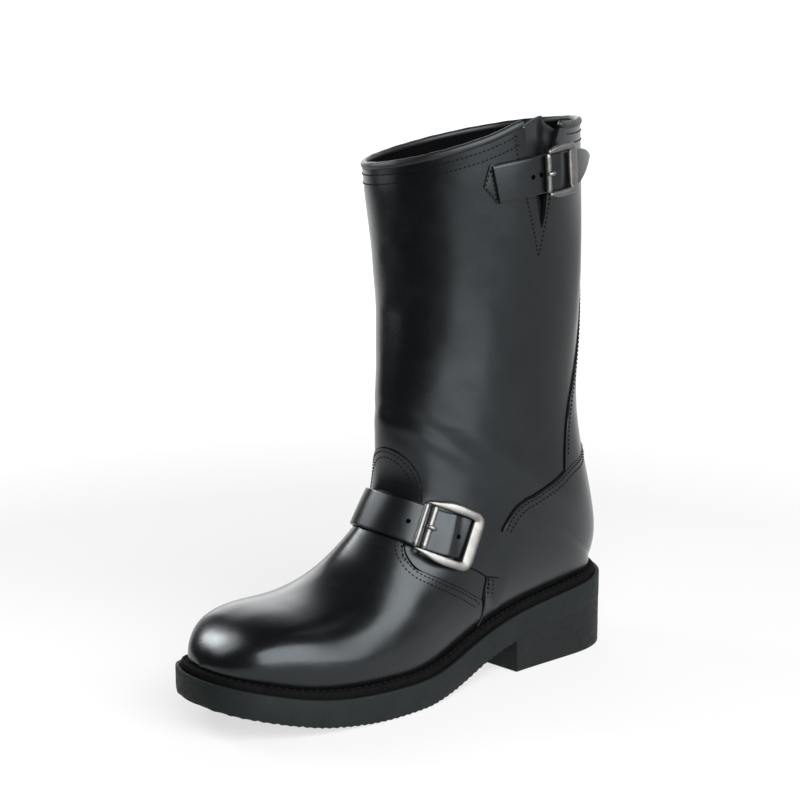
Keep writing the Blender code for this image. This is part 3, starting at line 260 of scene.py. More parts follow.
# Bellows behind the slit: its rows, how far it laps behind both edges, the height of its crest across it,
# how far it is folded inwards across it, and the rows over which it opens.
GUSSET_ROWS = (25.8, 29.3)
GUSSET_LAP = 0.032
GUSSET_CREST = table(("share", "row"), (
    (0.0, 29.15), (0.3, 29.47), (0.5, 29.53), (0.62, 29.48), (0.75, 29.15), (1.0, 28.62),
))
GUSSET_FOLD = table(("share", "depth"), (
    (0.0, 0.0), (0.25, 0.0), (0.5, 0.12), (0.62, 0.34), (0.75, 1.0), (0.88, 0.45), (1.0, 0.0),
))
GUSSET_OPEN = (26.2, 29.2)
GUSSET_THICK = 1.2
GUSSET_DEPTH = 11.0
GUSSET_CLEAR = 1.1

# Buckles: place along the strap, shift across it, turn on it and bend along it, height of the metal's
# middle over the strap's underside, half sizes of the window, widths of side bars and end bar, share of a
# side bar's width at the tip of its arm, and how far the axes of the roller and of the inner bar lie in
# front of the window, with their radii. The top buckle has no inner bar.
BUCKLE_COLUMNS = ("across", "shift", "turn", "bend", "level", "half_length", "half_height", "side_bar",
                  "end_bar", "arm_tip", "roller_out", "roller_radius", "bar_out", "bar_radius")
BUCKLE_ROWS = {
    "instep_buckle": (0.597, 0.0, -6.5, 75.0, 5.0, 11.6, 13.3, 5.4, 7.4, 0.25, 7.8, 1.7, 2.7, 2.2),
    "top_buckle": (0.444, 1.0, 4.8, 66.0, 4.8, 8.3, 11.3, 4.0, 7.2, 0.6, 2.2, 1.8, None, None),
}
# Upper half of a buckle's frame from the roller to the middle of the end bar: inner edge and outer edge, as
# shares of the window's half length and half height, with the parts of the bars' widths added to them.
FRAME_COLUMNS = ("inner_u", "inner_v", "outer_u", "outer_v", "outer_u_bar", "outer_v_bar")
FRAME_ROWS = (
    (-1.0, 1.0, -1.0, 1.0, 0.0, 0.60),
    (-0.5, 1.0, -0.5, 1.0, 0.0, 0.88),
    (0.1, 1.0, 0.1, 1.0, 0.0, 1.00),
    (0.7, 1.0, 0.8, 1.0, 0.0, 0.92),
    (0.9, 1.0, 1.0, 1.0, 0.45, 0.72),
    (0.98, 0.98, 1.0, 1.0, 0.84, 0.28),
    (1.0, 0.9, 1.0, 0.9, 0.97, -0.1),
    (1.0, 0.5, 1.0, 0.5, 1.0, 0.0),
    (1.0, 0.0, 1.0, 0.0, 1.0, 0.0),
)
FRAME_HALF = 1.5
PRONG_RADIUS = 1.1
# The prong bends round its bar from this angle to that one, 0 being level towards the window.
PRONG_BEND = (140.0, -25.0)

# Rings of the sole's pieces from below upwards: how far each lies inside the outline, what its height is
# measured from, and that height.
RING_COLUMNS = ("inset", "reference", "height")
OUTSOLE_RINGS = (
    (2.4, "tread", 0.0),
    (1.0, "serrated", 0.0),
    (0.4, "serrated", 0.35),
    (0.1, "under", 2.6),
    (0.0, "under", 4.6),
    (0.0, "top", -1.0),
    (0.12, "top", -0.4),
    (0.5, "top", -0.06),
    (0.9, "top", 0.0),
    (2.0, "top", 0.0),
    (2.4, "top", -0.3),
    (3.0, "top", -SEAT_GROOVE),
)
LIFT_RINGS = (
    (0.1, "floor", TOP_PIECE_HEIGHT),
    (0.05, "floor", TOP_PIECE_HEIGHT + 0.6),
    (0.05, "under", 2.6),
    (0.5, "under", 2.8),
)
TOP_PIECE_RINGS = (
    (0.9, "floor", 0.0),
    (0.3, "floor", 0.25),
    (0.0, "floor", 0.9),
    (0.0, "floor", TOP_PIECE_HEIGHT - 0.1),
    (0.1, "floor", TOP_PIECE_HEIGHT - 0.02),
)
WELT_RINGS = (
    (WELT_INSET, "top", 0.05 - SEAT_GROOVE),
    (WELT_INSET, "top", WELT_RISE - 1.2),
    (WELT_INSET + 0.4, "top", WELT_RISE - 0.4),
    (WELT_INSET + 1.2, "top", WELT_RISE),
)
INSOLE_RINGS = (
    (INSOLE_INSET, "feather", 0.0),
    (INSOLE_INSET, "feather", INSOLE_THICK - 0.8),
    (INSOLE_INSET + 0.8, "feather", INSOLE_THICK),
)
SOLE_ALONG = 401
HEEL_ALONG = 60
INSOLE_ALONG = 100
# Fine wavy cut along the lower edge of the side wall.
SERRATION_PITCH = 4.6
SERRATION_DEPTH = 0.7

# Looks of the pieces: fineness of the grids, heights of their faces over the upper, and rounded edges.
PREFIX = "boot_"
SHARP_ANGLE = 0.65
# Points of two grids are one point if they agree when rounded to this many steps in a millimetre.
WELD_STEPS = 500.0
TINY = 1e-12
UPPER_FINE = 6
LINING_FINE = 2
LINING_GAP = 0.15
LINING_THICK = 0.6
COUNTER_FINE = 8
COUNTER_ACROSS = 36
COUNTER_BED = 0.01
COUNTER_RISE = 0.03
STAY_GRID = ((19.34, 21.42, 50), (21.50, 28.60, 100))
STAY_ACROSS = 22
STAY_CLEAR = 0.002
STAY_BED = 0.05
STAY_RISE = 0.1
# Distances from the edge of a patch, as shares of its width, where the rounding needs more points.
EDGE_SHARES = (0.02, 0.01, 0.004)
EDGE_ROUND = 0.9
# Share of the counter's front edge that is thinned away to nothing, by row, and the width of that strip.
THINNED = table(("row", "share"), ((11.1, 0.0), (11.4, 1.0), (13.2, 1.0), (13.4, 0.0)))
THIN_WIDTH = 16.0
BINDING_ALONG = 260
BINDING_SIDES = 14
BINDING_LIFT = 0.2
# Half width and half height of the binding as shares of its radius, and the share of its length that is
# rounded off at each end, where the first ring stands for a point a little way in.
BINDING_SECTION = (1.05, 1.25)
BINDING_END = 0.006
BINDING_START = 2e-4
# Waves of the binding: share of its radius, the rates of two waves along it and the start of the second.
BINDING_WAVE = (0.05, 140.0, 47.0, 1.0)
GUSSET_ALONG = (50, 61)
GUSSET_EASE = 45
# Wrinkles of the gusset: height, rates up it and across it, and how fast they grow with the fold's depth.
GUSSET_WRINKLE = (0.5, 26.0, 7.0, 4.0)

# Straps: stations along them, shares of the width for the rows next to an edge and for the rows between,
# thickness of an edge as a share, width of its rounding, and how far the middle swells.
STRAP_ALONG = 160
TAB_ALONG = 53
STRAP_EDGE = (0.0, 0.006, 0.016, 0.03, 0.07)
STRAP_BETWEEN = (0.125, 0.875, 13)
STRAP_SIDE = 0.55
STRAP_ROUND = 0.7
STRAP_SWELL = 0.25
TAB_LIFT = 0.15
# Over how many stations to each side the heights and the pointed ends are evened out.
INSTEP_EASE = 2
TOP_STRAP_EASE = 7
POINT_EASE = 2
# Where a strap bows out inside its buckle, over what width, and how far.
INSTEP_BULGE = (0.592, 0.012, 0.7)
TOP_BULGE = (0.438, 0.014, 0.6)
# Punched holes: places along the straps, radius, height of the cutter's and of the dark disc's two ends
# over the strap's underside, how far the disc reaches into the strap, and a direction across all holes. The
# disc in each
# hole is painted shade: flat black put inside the hole to stand in for its shadow.
INSTEP_HOLES = (0.769, 0.567)
TOP_HOLES = (0.533, 0.506)
HOLE_RADIUS = 1.5
HOLE_CUT = (-4.0, 8.0)
HOLE_SHADE_DISC = (-0.4, 0.25)
HOLE_LAP = 0.3
HOLE_SIDES = 16
HOLE_ASIDE = (0.0, 0.3, 1.0)

# Buckles: stations and sides of each part, how square the frame's section is, and rounded ends.
FRAME_ALONG = 110
FRAME_SIDES = 20
FRAME_SQUARE = 2.9
FRAME_END = 4.0
ROD_ALONG = 24
ROD_SIDES = 24
ROD_CLEAR = 0.1
ROD_REACH = 0.15
ROD_ROUND = 0.7
PRONG_ALONG = 30
PRONG_SIDES = 14
PRONG_END = 5.0
PRONG_TALL = 1.15
PRONG_CLEAR = 0.1
# Size of the first and last ring of a rounded end, in stations.
END_START = 0.3

# Stitches: sizes, and thickness and height of the rings of one stitch as shares of its radius.
STITCH_COLUMNS = ("pitch", "length", "radius")
FINE_STITCH = dict(zip(STITCH_COLUMNS, (2.7, 2.0, 0.38)))
WELT_STITCH = dict(zip(STITCH_COLUMNS, (4.6, 3.7, 0.6)))
STITCH_THICK = (0.45, 0.95, 1.0, 0.95, 0.45)
STITCH_LIFT = (-0.8, 0.1, 0.35, 0.1, -0.8)
STITCH_SIDES = 6
# Space before the first stitch and behind the last one, in pitches.
STITCH_START = 0.5
STITCH_STOP = 0.4
# Distances of the stitch rows from the edges that they follow, the stretches where they run, and their
# heights over the face that they are sewn on.
LINE_SPACING = 1.5
VAMP_STITCHES = (1.9, 5.4)
VAMP_STITCH_LOW = 0.27
VAMP_STITCH_RISE = 0.05
COUNTER_STITCHES = (2.1, 5.8)
COUNTER_STITCH_ROWS = (21.40, 13.35, 120)
STAY_STITCHES = (2.6,)
STAY_STITCH_ROWS = (28.5, 20.0, 120)
OVERLAY_STITCH_RISE = 0.13
BACK_CLEAR = 0.004
TAB_STITCH = 1.7
TAB_SEAM = 0.6445
TAB_SEAM_ROW = 27.2
TAB_STITCH_RISE = 0.35
TAB_STEPS = 20
TAB_SEAM_STEPS = 12
COLLAR_STITCHES = (3.2, 8.6)
COLLAR_STITCH_RISE = 0.03
COLLAR_STITCH_ROW = 28.9
SLIT_CLEAR = 0.03
COLLAR_ENDS = (0.001, 1.999)
COLLAR_POINTS = (60, 300)
LINING_STITCH = 6.0
LINING_STITCH_DEPTH = 0.8
SLIT_STITCHES = (
    ((29.20, 0.577), (28.16, 0.567), (26.81, 0.540), (25.42, 0.500)),
    ((27.00, 0.452), (25.42, 0.500)),
)
WELT_STITCH_INSET = 2.2
WELT_STITCH_STATIONS = 400
# Seam in front of the counter with its two stitch rows, and the dark edge over it, a cord of edge dye and
# painted shade, as row and place across.
SEAM = ((11.60, 0.371), (11.30, 0.323), (11.00, 0.256), (10.79, 0.195), (10.64, 0.125))
SEAM_STITCHES = (
    ((11.65, 0.360), (11.37, 0.299), (11.09, 0.224), (10.86, 0.120)),
    ((11.75, 0.343), (11.47, 0.278), (11.18, 0.186), (10.98, 0.090)),
)
SEAM_HEIGHT = 0.35
SEAM_TOP = ((11.30, 0.445), (11.46, 0.414), (11.60, 0.371), (11.88, 0.334), (12.20, 0.293))
# Dyed edges, dark cords that are edge dye and also painted shade at the foot of each edge: section,
# stretches of rows or places, and stations over which the vamp's edge is evened out.
EDGE_RADIUS = 0.46
EDGE_SIDES = 8
EDGE_SETTLE = 4
VAMP_SIDE = (0.01, 0.62, 60)
TONGUE_SIDE = (9.75, 12.5, 40)
TONGUE_POINTS = 60
COUNTER_EDGE_ROWS = (21.3, 13.35, 140)
STAY_EDGE_ROWS = (28.5, 19.45, 140)

# Soft folds and creases of the leather: place on the upper, half length and half width in millimetres, turn
# of the crease from level in degrees, and depth, negative for a ridge.
CREASE_COLUMNS = ("row", "across", "length", "width", "turn", "depth")
CREASE_ROWS = (
    (24.6, 0.75, 24.0, 11.0, 75.0, -0.22),
    (22.4, 0.78, 22.0, 10.0, 80.0, 0.20),
    (20.6, 0.71, 26.0, 11.0, -72.0, -0.20),
    (19.4, 0.79, 26.0, 12.0, -70.0, 0.12),
    (15.6, 0.74, 22.0, 9.0, -62.0, -0.24),
    (15.4, 0.81, 20.0, 9.0, -60.0, 0.12),
    (20.3, 0.72, 8.0, 1.9, 12.0, 0.16),
    (20.5, 0.71, 8.0, 1.9, 16.0, -0.12),
    (17.8, 0.73, 9.0, 2.0, 10.0, 0.14),
    (18.0, 0.74, 8.0, 1.8, 8.0, -0.10),
    (24.8, 1.02, 7.0, 1.8, 10.0, 0.18),
    (25.1, 1.01, 7.0, 1.8, 8.0, 0.18),
    (22.5, 1.02, 8.0, 2.0, 10.0, 0.16),
)

# Sideways sway of a crease and the length of its wave, as shares of its half length, and how far it reaches
# through the boot.
CREASE_SWAY = 0.12
CREASE_WAVE = 0.6
CREASE_REACH = 30.0

# Dark and pale shade of the leather, the trim and the two kinds of rubber.
LEATHER_SHADES = ((0.0016, 0.0018, 0.0020), (0.0024, 0.0026, 0.0030))
TRIM_SHADES = ((0.003, 0.003, 0.0035), (0.005, 0.005, 0.0055))
SOLE_SHADES = ((0.0055, 0.0072, 0.0074), (0.0075, 0.0098, 0.0100))
HEEL_SHADES = ((0.0055, 0.0065, 0.0068), (0.0072, 0.0085, 0.0088))
# Tint of the leather's reflections.
COOL = (0.86, 0.95, 1.0, 1.0)

CAMERA_AZIMUTH = 50.651
CAMERA_ELEVATION = 11.996
CAMERA_DISTANCE = 1159.5
CAMERA_SIDE = -1.025
CAMERA_RISE = 23.219
AIM_HEIGHT = 150.0
SENSOR = 36.0
FOCAL_PIXELS = 1930.9
PICTURE = 800.0
# The pale floor ends in front of the toe, so that the shaft mirrors the dim side of the studio there.
FLOOR_FRONT_AZIMUTH = -8.0
FLOOR_FRONT = 0.52
FLOOR_REACH = 2.6
# Distances from the boot over which the floor's glow changes, and its glow near and far.
FLOOR_GLOW = (0.45, 1.3, 0.65, 1.05)
# Outside the picture, to the right and in front, the floor is dimmer: the distances over which it changes,
# and the share of its glow there.
FLOOR_DIM_RIGHT = (0.34, 0.56, 0.35)
FLOOR_DIM_FRONT = (0.27, 0.50, 0.10)
# The studio is bright low behind the boot and dim in front and above: the direction of its bright side,
# then the range of directions over which it changes and the strength in front and behind.
WORLD_BRIGHT = (200.0, -25.0)
WORLD_SPREAD = (0.05, 0.55, 0.06, 1.15)
LIGHT_COLUMNS = ("name", "azimuth", "elevation", "distance", "width", "height", "power")
LIGHT_ROWS = (
    ("left_box", -66.0, 30.0, 1.5, 0.28, 0.36, 5.5),
    ("strap_card", -44.0, 25.0, 0.42, 0.20, 0.18, 0.50),
    ("left_back_box", -118.0, 20.0, 1.8, 1.2, 1.0, 8.0),
    ("right_box", 80.0, 30.0, 1.6, 2.2, 1.8, 82.0),
    ("low_card", 72.0, -15.0, 0.456, 0.36, 0.10, 0.22),
)


def unit(vectors):
    """The vectors with a length of 1."""
    return vectors / (np.linalg.norm(vectors, axis=-1, keepdims=True) + TINY)


def path_run(points):
    """Length along a path at each of its points."""
    return np.r_[0.0, np.cumsum(np.linalg.norm(np.diff(points, axis=0), axis=1))]


def long_edge(distance, width):
    """Share that rises softly from 0 to 1 over the width."""
    near = np.clip(distance / width, 0.0, 1.0)
    return near * near * (3.0 - 2.0 * near)


def smooth_curve(knots, values):
    """Natural cubic curve through the rows of values, as a function of the knot coordinate."""
    knots = np.asarray(knots, float)
    values = np.asarray(values, float)
    if values.ndim == 1:
        values = values[:, None]
    gap = np.diff(knots)
    count = len(knots)
    matrix = np.zeros((count, count))
    right = np.zeros((count, values.shape[1]))
    matrix[0, 0] = 1.0
    matrix[-1, -1] = 1.0
    for i in range(1, count - 1):
        matrix[i, i - 1] = gap[i - 1]
        matrix[i, i] = 2.0 * (gap[i - 1] + gap[i])
        matrix[i, i + 1] = gap[i]
        right[i] = 6.0 * ((values[i + 1] - values[i]) / gap[i] - (values[i] - values[i - 1]) / gap[i - 1])
    bend = np.linalg.solve(matrix, right)

    def curve(x):
        x = np.asarray(x, float)
        i = np.clip(np.searchsorted(knots, x) - 1, 0, count - 2)
        h = gap[i][..., None]
        a = (knots[i + 1] - x)[..., None] / h
        b = 1.0 - a
        bent = ((a ** 3 - a) * bend[i] + (b ** 3 - b) * bend[i + 1]) * h * h / 6.0
        return a * values[i] + b * values[i + 1] + bent

    return curve


def dense_outline():
    """Closed outline of the sole with normals: outer side from toe to heel, then the inner side back."""
    along, outer, inner = SHAPE["along"], SHAPE["outer"], SHAPE["inner"]
    y = (along - 0.5) * SOLE_LENGTH
    towards_heel = long_edge(along - WAIST_START, WAIST_SPAN)
    width = BALL_WIDTH + (HEEL_WIDTH / HEEL_SHARE - BALL_WIDTH) * towards_heel
    loop = np.r_[np.c_[outer * width, y], np.c_[inner * width, y][-2:0:-1]]
    lap = 5
    loop = np.r_[loop[-lap:], loop, loop[:lap + 1]]
    run = path_run(loop)
    curve = smooth_curve(run, loop)
    place = np.linspace(run[lap], run[lap + 2 * len(along) - 2], OUTLINE_POINTS + 1)[:-1]
    points = curve(place)
    ahead = np.roll(points, -1, axis=0) - np.roll(points, 1, axis=0)
    normal = unit(np.c_[-ahead[:, 1], ahead[:, 0]])
    normal *= np.sign(np.sum(normal * (points - points.mean(axis=0)), axis=1))[:, None]
    low = points[:, 1].argmin()
    points = np.roll(points, -low, axis=0)
    normal = np.roll(normal, -low, axis=0)
    points[:, 1] *= SOLE_LENGTH / np.ptp(points[:, 1])
    points -= 0.5 * (points.max(axis=0) + points.min(axis=0))
    return points, normal


OUTLINE, OUTLINE_NORMAL = dense_outline()
HEEL_TIP = int(OUTLINE[:, 1].argmax())


def half_outline(values):
    """The outer and the inner half of a closed list along the outline, both from toe to heel."""
    return values[:HEEL_TIP + 1], np.r_[values[HEEL_TIP:], values[:1]][::-1]


SIDES = dict(zip(("outer", "inner"), zip(half_outline(OUTLINE), half_outline(OUTLINE_NORMAL))))


def outline_at(side, y):
    """Points of one side of the outline at the given lengths, with their outward normals."""
    points, normal = SIDES[side]
    found = np.c_[np.interp(y, points[:, 1], points[:, 0]), y]
    out = np.c_[np.interp(y, points[:, 1], normal[:, 0]), np.interp(y, points[:, 1], normal[:, 1])]
    return found, unit(out)


def inset_x(side, inset, y):
    """X of the outline moved inwards by the inset, at the given lengths."""
    points, normal = SIDES[side]
    moved = points - normal * inset
    order = np.maximum.accumulate(moved[:, 1])
    return np.interp(y, order, moved[:, 0])


SOLE_CURVE = smooth_curve(SOLE["y"], np.c_[SOLE["top"], SOLE["under"]])


def sole_top(y):
    return SOLE_CURVE(y)[..., 0]


def sole_under(y):
    return np.maximum(SOLE_CURVE(y)[..., 1], 0.0)


def feather_z(y):
    """Height at which the upper meets the welt."""
    return sole_top(y) + WELT_RISE + MEETING_GAP


def upper_rows():
    """All section rows in one table of plain columns for the smooth curve."""
    rows = []
    for row in FOOT_ROWS:
        r = dict(zip(FOOT_COLUMNS, row))
        y = r["foot_y"]
        rows.append((y, float(feather_z(np.array(y))), r["ridge_y"], r["ridge_z"], r["ridge_x"],
                     r["half_outer"], -r["half_inner"], r["widest"], r["crown"], r["split"], 0.0))
    for row in SHAFT_ROWS:
        r = dict(zip(SHAFT_COLUMNS, row))
        rows.append((r["back_y"], r["back_z"], r["front_y"], r["front_z"], 0.0, r["half_outer"],
                     -r["half_inner"], r["widest"], r["crown"], r["split"], r["side_rise"]))
    return rows


UPPER_TABLE = upper_rows()
UPPER_CURVE = smooth_curve(np.arange(len(UPPER_TABLE)), UPPER_TABLE)


def surface(t, f):
    """Point of the upper's outside: t runs from toe 0 to the collar, f from the outer foot or back line 0
    over the ridge 1 to the inner foot or back line 2."""
    t, f = np.broadcast_arrays(np.asarray(t, float), np.asarray(f, float))
    (low_y, low_z, top_y, top_z, top_x, wide_out, wide_in, widest, crown, split,
     rise) = np.moveaxis(UPPER_CURVE(t), -1, 0)
    on_outer = f <= 1.0
    g = np.where(on_outer, f, 2.0 - f)
    wide = np.where(on_outer, wide_out, wide_in)
    foot = t < HEEL_ROW
    foot_y = np.clip(low_y, -0.5 * SOLE_LENGTH + FEATHER_INSET, 0.5 * SOLE_LENGTH - FEATHER_INSET)
    low_z = np.where(foot, feather_z(foot_y), low_z)
    outer_edge = inset_x("outer", FEATHER_INSET, foot_y)
    inner_edge = inset_x("inner", FEATHER_INSET, foot_y)
    edge = np.where(foot, np.where(on_outer, outer_edge, inner_edge), top_x)
    below = np.clip(g / split, 0.0, 1.0)
    above = np.clip((g - split) / (1.0 - split), 0.0, 1.0)
    low_share = 1.0 - np.cos(0.5 * np.pi * below)
    high_share = np.sin(0.5 * np.pi * above)
    cut = np.clip(np.abs(edge - top_x) / np.maximum(np.abs(wide - top_x), 1e-6), 0.0, 1.0)
    start = 1.0 - (1.0 - cut ** LOW_POWER) ** (1.0 / LOW_POWER)
    reach = np.clip(1.0 - (start + (1.0 - start) * low_share), 0.0, 1.0)
    swell = np.clip(1.0 - reach ** LOW_POWER, 0.0, 1.0) ** (1.0 / LOW_POWER)
    arch = np.clip(1.0 - high_share ** crown, 0.0, 1.0) ** (1.0 / crown)
    share = np.where(g < split, widest * low_share, widest + (1.0 - widest) * high_share)
    x = np.where(g < split, top_x + (wide - top_x) * swell, top_x + (wide - top_x) * arch)
    y = low_y + share * (top_y - low_y)
    z = low_z + share * (top_z - low_z) + rise * x
    return np.stack([x, y, z], axis=-1)


def plain_mesh(name, points, faces):
    """Mesh object from points in millimetres."""
    mesh = bpy.data.meshes.new(name)
    mesh.from_pydata(((np.asarray(points) - (MIDDLE_X, 0.0, 0.0)) * METRES).tolist(), [], faces)
    mesh.shade_smooth()
    mesh.set_sharp_from_angle(angle=SHARP_ANGLE)
    thing = bpy.data.objects.new(name, mesh)
    bpy.context.scene.collection.objects.link(thing)
    return thing


def add_solid(name, points, faces, look):
    """One piece of the boot with its look; it stands for the solid of the same name, if there is one."""
    material, slot = look
    thing = plain_mesh(PREFIX + name, points, faces)
    thing.data.materials.append(material)
    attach(thing, "root")
    if name in frame["nodes"]:
        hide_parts(name)
    return thing


class Sheet:
    """Grids of one surface welded to one sheet, then thickened to a closed solid."""

    def __init__(self):
        self.grids = []

    def grid(self, points, outer, inner, level=False):
        """Adds a grid of points with the heights of its two faces; level keeps the thickness level."""
        flat = [np.broadcast_to(part, points.shape[:2]).ravel() for part in (outer, inner, level)]
        self.grids.append((points, *flat))

    def weld(self):
        """One list of points, heights and faces for all grids."""
        points = np.concatenate([g[0].reshape(-1, 3) for g in self.grids])
        heights = [np.concatenate([g[k] for g in self.grids]) for k in (1, 2, 3)]
        _, first, place = np.unique(np.round(points * WELD_STEPS).astype(np.int64), axis=0,
                                    return_index=True, return_inverse=True)
        place = place.ravel()
        quads = []
        start = 0
        for grid in self.grids:
            rows, columns = grid[0].shape[:2]
            index = place[start:start + rows * columns].reshape(rows, columns)
            quad = np.stack([index[:-1, :-1], index[1:, :-1], index[1:, 1:], index[:-1, 1:]], -1)
            quads.append(quad.reshape(-1, 4))
            start += rows * columns
        return points[first], [h[first] for h in heights], np.concatenate(quads)

    def solid(self, name, look):
        """Closed solid between the two faces of the sheet."""
        points, (outer, inner, level), quads = self.weld()
        corner = points[quads]
        turn = np.cross(corner[:, 2] - corner[:, 0], corner[:, 3] - corner[:, 1])
        normal = np.zeros_like(points)
        for k in range(4):
            np.add.at(normal, quads[:, k], turn)
        normal[level.astype(bool), 2] = 0.0
        normal = unit(normal)
        count = len(points)
        faces = []
        for quad in quads.tolist():
            face = [q for n, q in enumerate(quad) if q not in quad[:n]]
            if len(face) > 2:
                faces.append(tuple(face))
        seen = {(a, b) for face in faces for a, b in zip(face, face[1:] + face[:1])}
        rims = [(b, a, a + count, b + count) for a, b in seen if (b, a) not in seen]
        backs = [tuple(i + count for i in reversed(face)) for face in faces]
        both = np.r_[points + normal * outer[:, None], points + normal * inner[:, None]]
        return add_solid(name, both, faces + backs + rims, look)


def loop_solid(name, stations, rings, look, front_tip=True, slant=None):
    """Solid between rings of the sole's outline; each ring has an inset and a height from its reference."""
    rail = [outline_at(side, stations) for side in SIDES]
    count = len(stations)
    inner_rows = list(range(count - 2, 0 if front_tip else -1, -1))
    size = count + len(inner_rows)
    points = []
    faces = []
    for ring in rings:
        r = dict(zip(RING_COLUMNS, ring))
        outer, inner = [found - out * r["inset"] for found, out in rail]
        loop = np.r_[outer, inner[inner_rows]]
        if slant is not None:
            loop = slant(loop, r["inset"])
        points.append(np.c_[loop, REFERENCES[r["reference"]](loop[:, 1]) + r["height"]])
    for k in range(len(rings) - 1):
        for i in range(size):
            j = (i + 1) % size
            faces.append((k * size + i, k * size + j, (k + 1) * size + j, (k + 1) * size + i))
    twin = {count - 1: count - 1}
    for place, row in enumerate(inner_rows):
        twin[row] = count + place
    if front_tip:
        twin[0] = 0
    for k in (0, len(rings) - 1):
        for i in range(count - 1):
            quad = [i, i + 1, twin[i + 1], twin[i]]
            kept = [k * size + q for n, q in enumerate(quad) if q not in quad[:n]]
            faces.append(tuple(kept))
    return add_solid(name, np.concatenate(points), faces, look)


def groove_stations():
    """Start and end of each cross groove of the tread."""
    edges = []
    for start, stop in GROOVE_SPANS:
        for y in np.arange(start, stop, GROOVE_PITCH):
            edges.append((y, y + GROOVE_WIDTH))
    return edges


GROOVES = groove_stations()


def tread(y):
    """Underside with its cross grooves."""
    height = sole_under(y)
    for start, stop in GROOVES:
        inside = (y > start - GROOVE_TOUCH) & (y < stop + GROOVE_TOUCH)
        height = np.where(inside, height + GROOVE_DEPTH, height)
    return height


def serrated(y):
    """Lower edge of the side wall with its fine wavy cut."""
    return sole_under(y) + SERRATION_DEPTH * (0.5 + 0.5 * np.sin(2.0 * np.pi * y / SERRATION_PITCH))


REFERENCES = {
    "floor": np.zeros_like,
    "tread": tread,
    "serrated": serrated,
    "under": sole_under,
    "top": sole_top,
    "feather": feather_z,
}


def sole_stations(count, clear=None):
    """Stations along the sole, closer at its ends, with the edges of the grooves among them if asked."""
    even = -0.5 * SOLE_LENGTH * np.cos(np.linspace(0.0, np.pi, count))
    if clear is None:
        return even
    cuts = [y for start, stop in GROOVES for y in (start - GROOVE_EDGE, start, stop, stop + GROOVE_EDGE)]
    kept = [y for y in even if np.abs(np.array(cuts) - y).min() > clear]
    return np.sort(np.r_[kept, cuts])


def heel_stations(count):
    """Stations from the heel breast to the back, closer at the back."""
    share = np.sin(0.5 * np.pi * np.linspace(0.0, 1.0, count))
    return BREAST_Y + share * (0.5 * SOLE_LENGTH - BREAST_Y)


def breast_slant(loop, inset):
    """Leans the heel breast so that its inner end lies further forward."""
    back = 0.5 * SOLE_LENGTH
    fade = np.clip((back - loop[:, 1]) / (back - BREAST_Y), 0.0, 1.0)
    moved = loop.copy()
    moved[:, 1] += fade * BREAST_SLANT * (loop[:, 0] - 0.5 * HEEL_WIDTH) + fade ** 6 * inset
    return moved


def column(columns, key, wanted, value):
    """Value of one column of a table at the given key, straight between its rows."""
    return np.interp(value, columns[key], columns[wanted])


def smooth_column(columns, key, wanted, value):
    """Value of one column of a table at the given key, on a smooth curve."""
    return smooth_curve(columns[key], columns[wanted])(np.asarray(value, float))[..., 0]


def rim_row(f):
    return smooth_column(RIM, "across", "row", f)


def slit_edges(t):
    """Front and rear edge of the slit at a row; they meet below it."""
    return column(SLIT, "row", "front_across", t), column(SLIT, "row", "rear_across", t)


def tongue_edges(t):
    """Outer and inner edge of the tongue at a row."""
    return column(TONGUE, "row", "outer_across", t), column(TONGUE, "row", "inner_across", t)


def counter_edge(t):
    """Place of the counter's top edge at a row, clear of the vamp's edge in front."""
    start = COUNTER["row"][0]
    place = smooth_column(COUNTER, "row", "top_across", np.maximum(t - SEAM_GAP, start))
    return np.maximum(place, 0.0)


def grid_rows(grid, fine=1):
    """Rows of a grid from its stretches."""
    stretches = [dict(zip(GRID_COLUMNS, stretch)) for stretch in grid]
    return np.concatenate([np.linspace(s["first_row"], s["last_row"], (s["count"] - 1) * fine + 1)
                           for s in stretches])


def row_stack(start, stop, rim, fine):
    """Rows of one column to the vamp's edge, the tongue's top and the rim; the first two are doubled."""
    low = np.linspace(0.0, 1.0, VAMP_STEPS * fine + 1)
    mid = np.linspace(0.0, 1.0, TONGUE_STEPS * fine + 1)
    high = np.linspace(0.0, 1.0, SHAFT_STEPS * fine + 1)
    brim = np.linspace(0.0, 1.0, COLLAR_STEPS * fine + 1)[1:]
    return np.r_[low * (start - EDGE_SPLIT),
                 start + EDGE_SPLIT + mid * (stop - start - 2.0 * EDGE_SPLIT),
                 stop + EDGE_SPLIT + high * (SLIT_FOOT - stop - EDGE_SPLIT),
                 SLIT_FOOT + brim * (rim - SLIT_FOOT)]


def behind(t, share):
    """Place across between the back line and the slit's rear edge."""
    return share * slit_edges(t)[1]


def before(t, share):
    """Place across between the slit's front edge and the tongue."""
    front = slit_edges(t)[0]
    return front + share * (tongue_edges(t)[0] - SIDE_SPLIT - front)


def on_tongue(t, share):
    """Place across on the tongue, or in line with it."""
    outer, inner = tongue_edges(t)
    return outer + share * (inner - outer)


def beyond(t, share):
    """Place across between the tongue and the inner back line."""
    edge = tongue_edges(t)[1] + SIDE_SPLIT
    return edge + share * (2.0 - edge)


def settled_column(place, share, tongue_share, fine):
    """Rows and places of one column of the upper; each depends a little on the other."""
    low_rows = VAMP_STEPS * fine + 1
    mid_rows = TONGUE_STEPS * fine + 1
    count = low_rows + mid_rows + (SHAFT_STEPS + COLLAR_STEPS) * fine + 1
    f = place(np.full(count, VAMP["row"][-1]), share)
    for _ in range(SETTLE_ROUNDS):
        start = column(VAMP, "across", "row", min(f[low_rows], 2.0 - f[low_rows]))
        stop = column(TONGUE_TOP, "share", "row", tongue_share)
        t = row_stack(start, stop, rim_row(f[-1]), fine)
        f = place(t, share)
    step = np.zeros(t.shape)
    step[:low_rows + mid_rows if place is on_tongue else low_rows] = VAMP_STEP
    return t, f, step


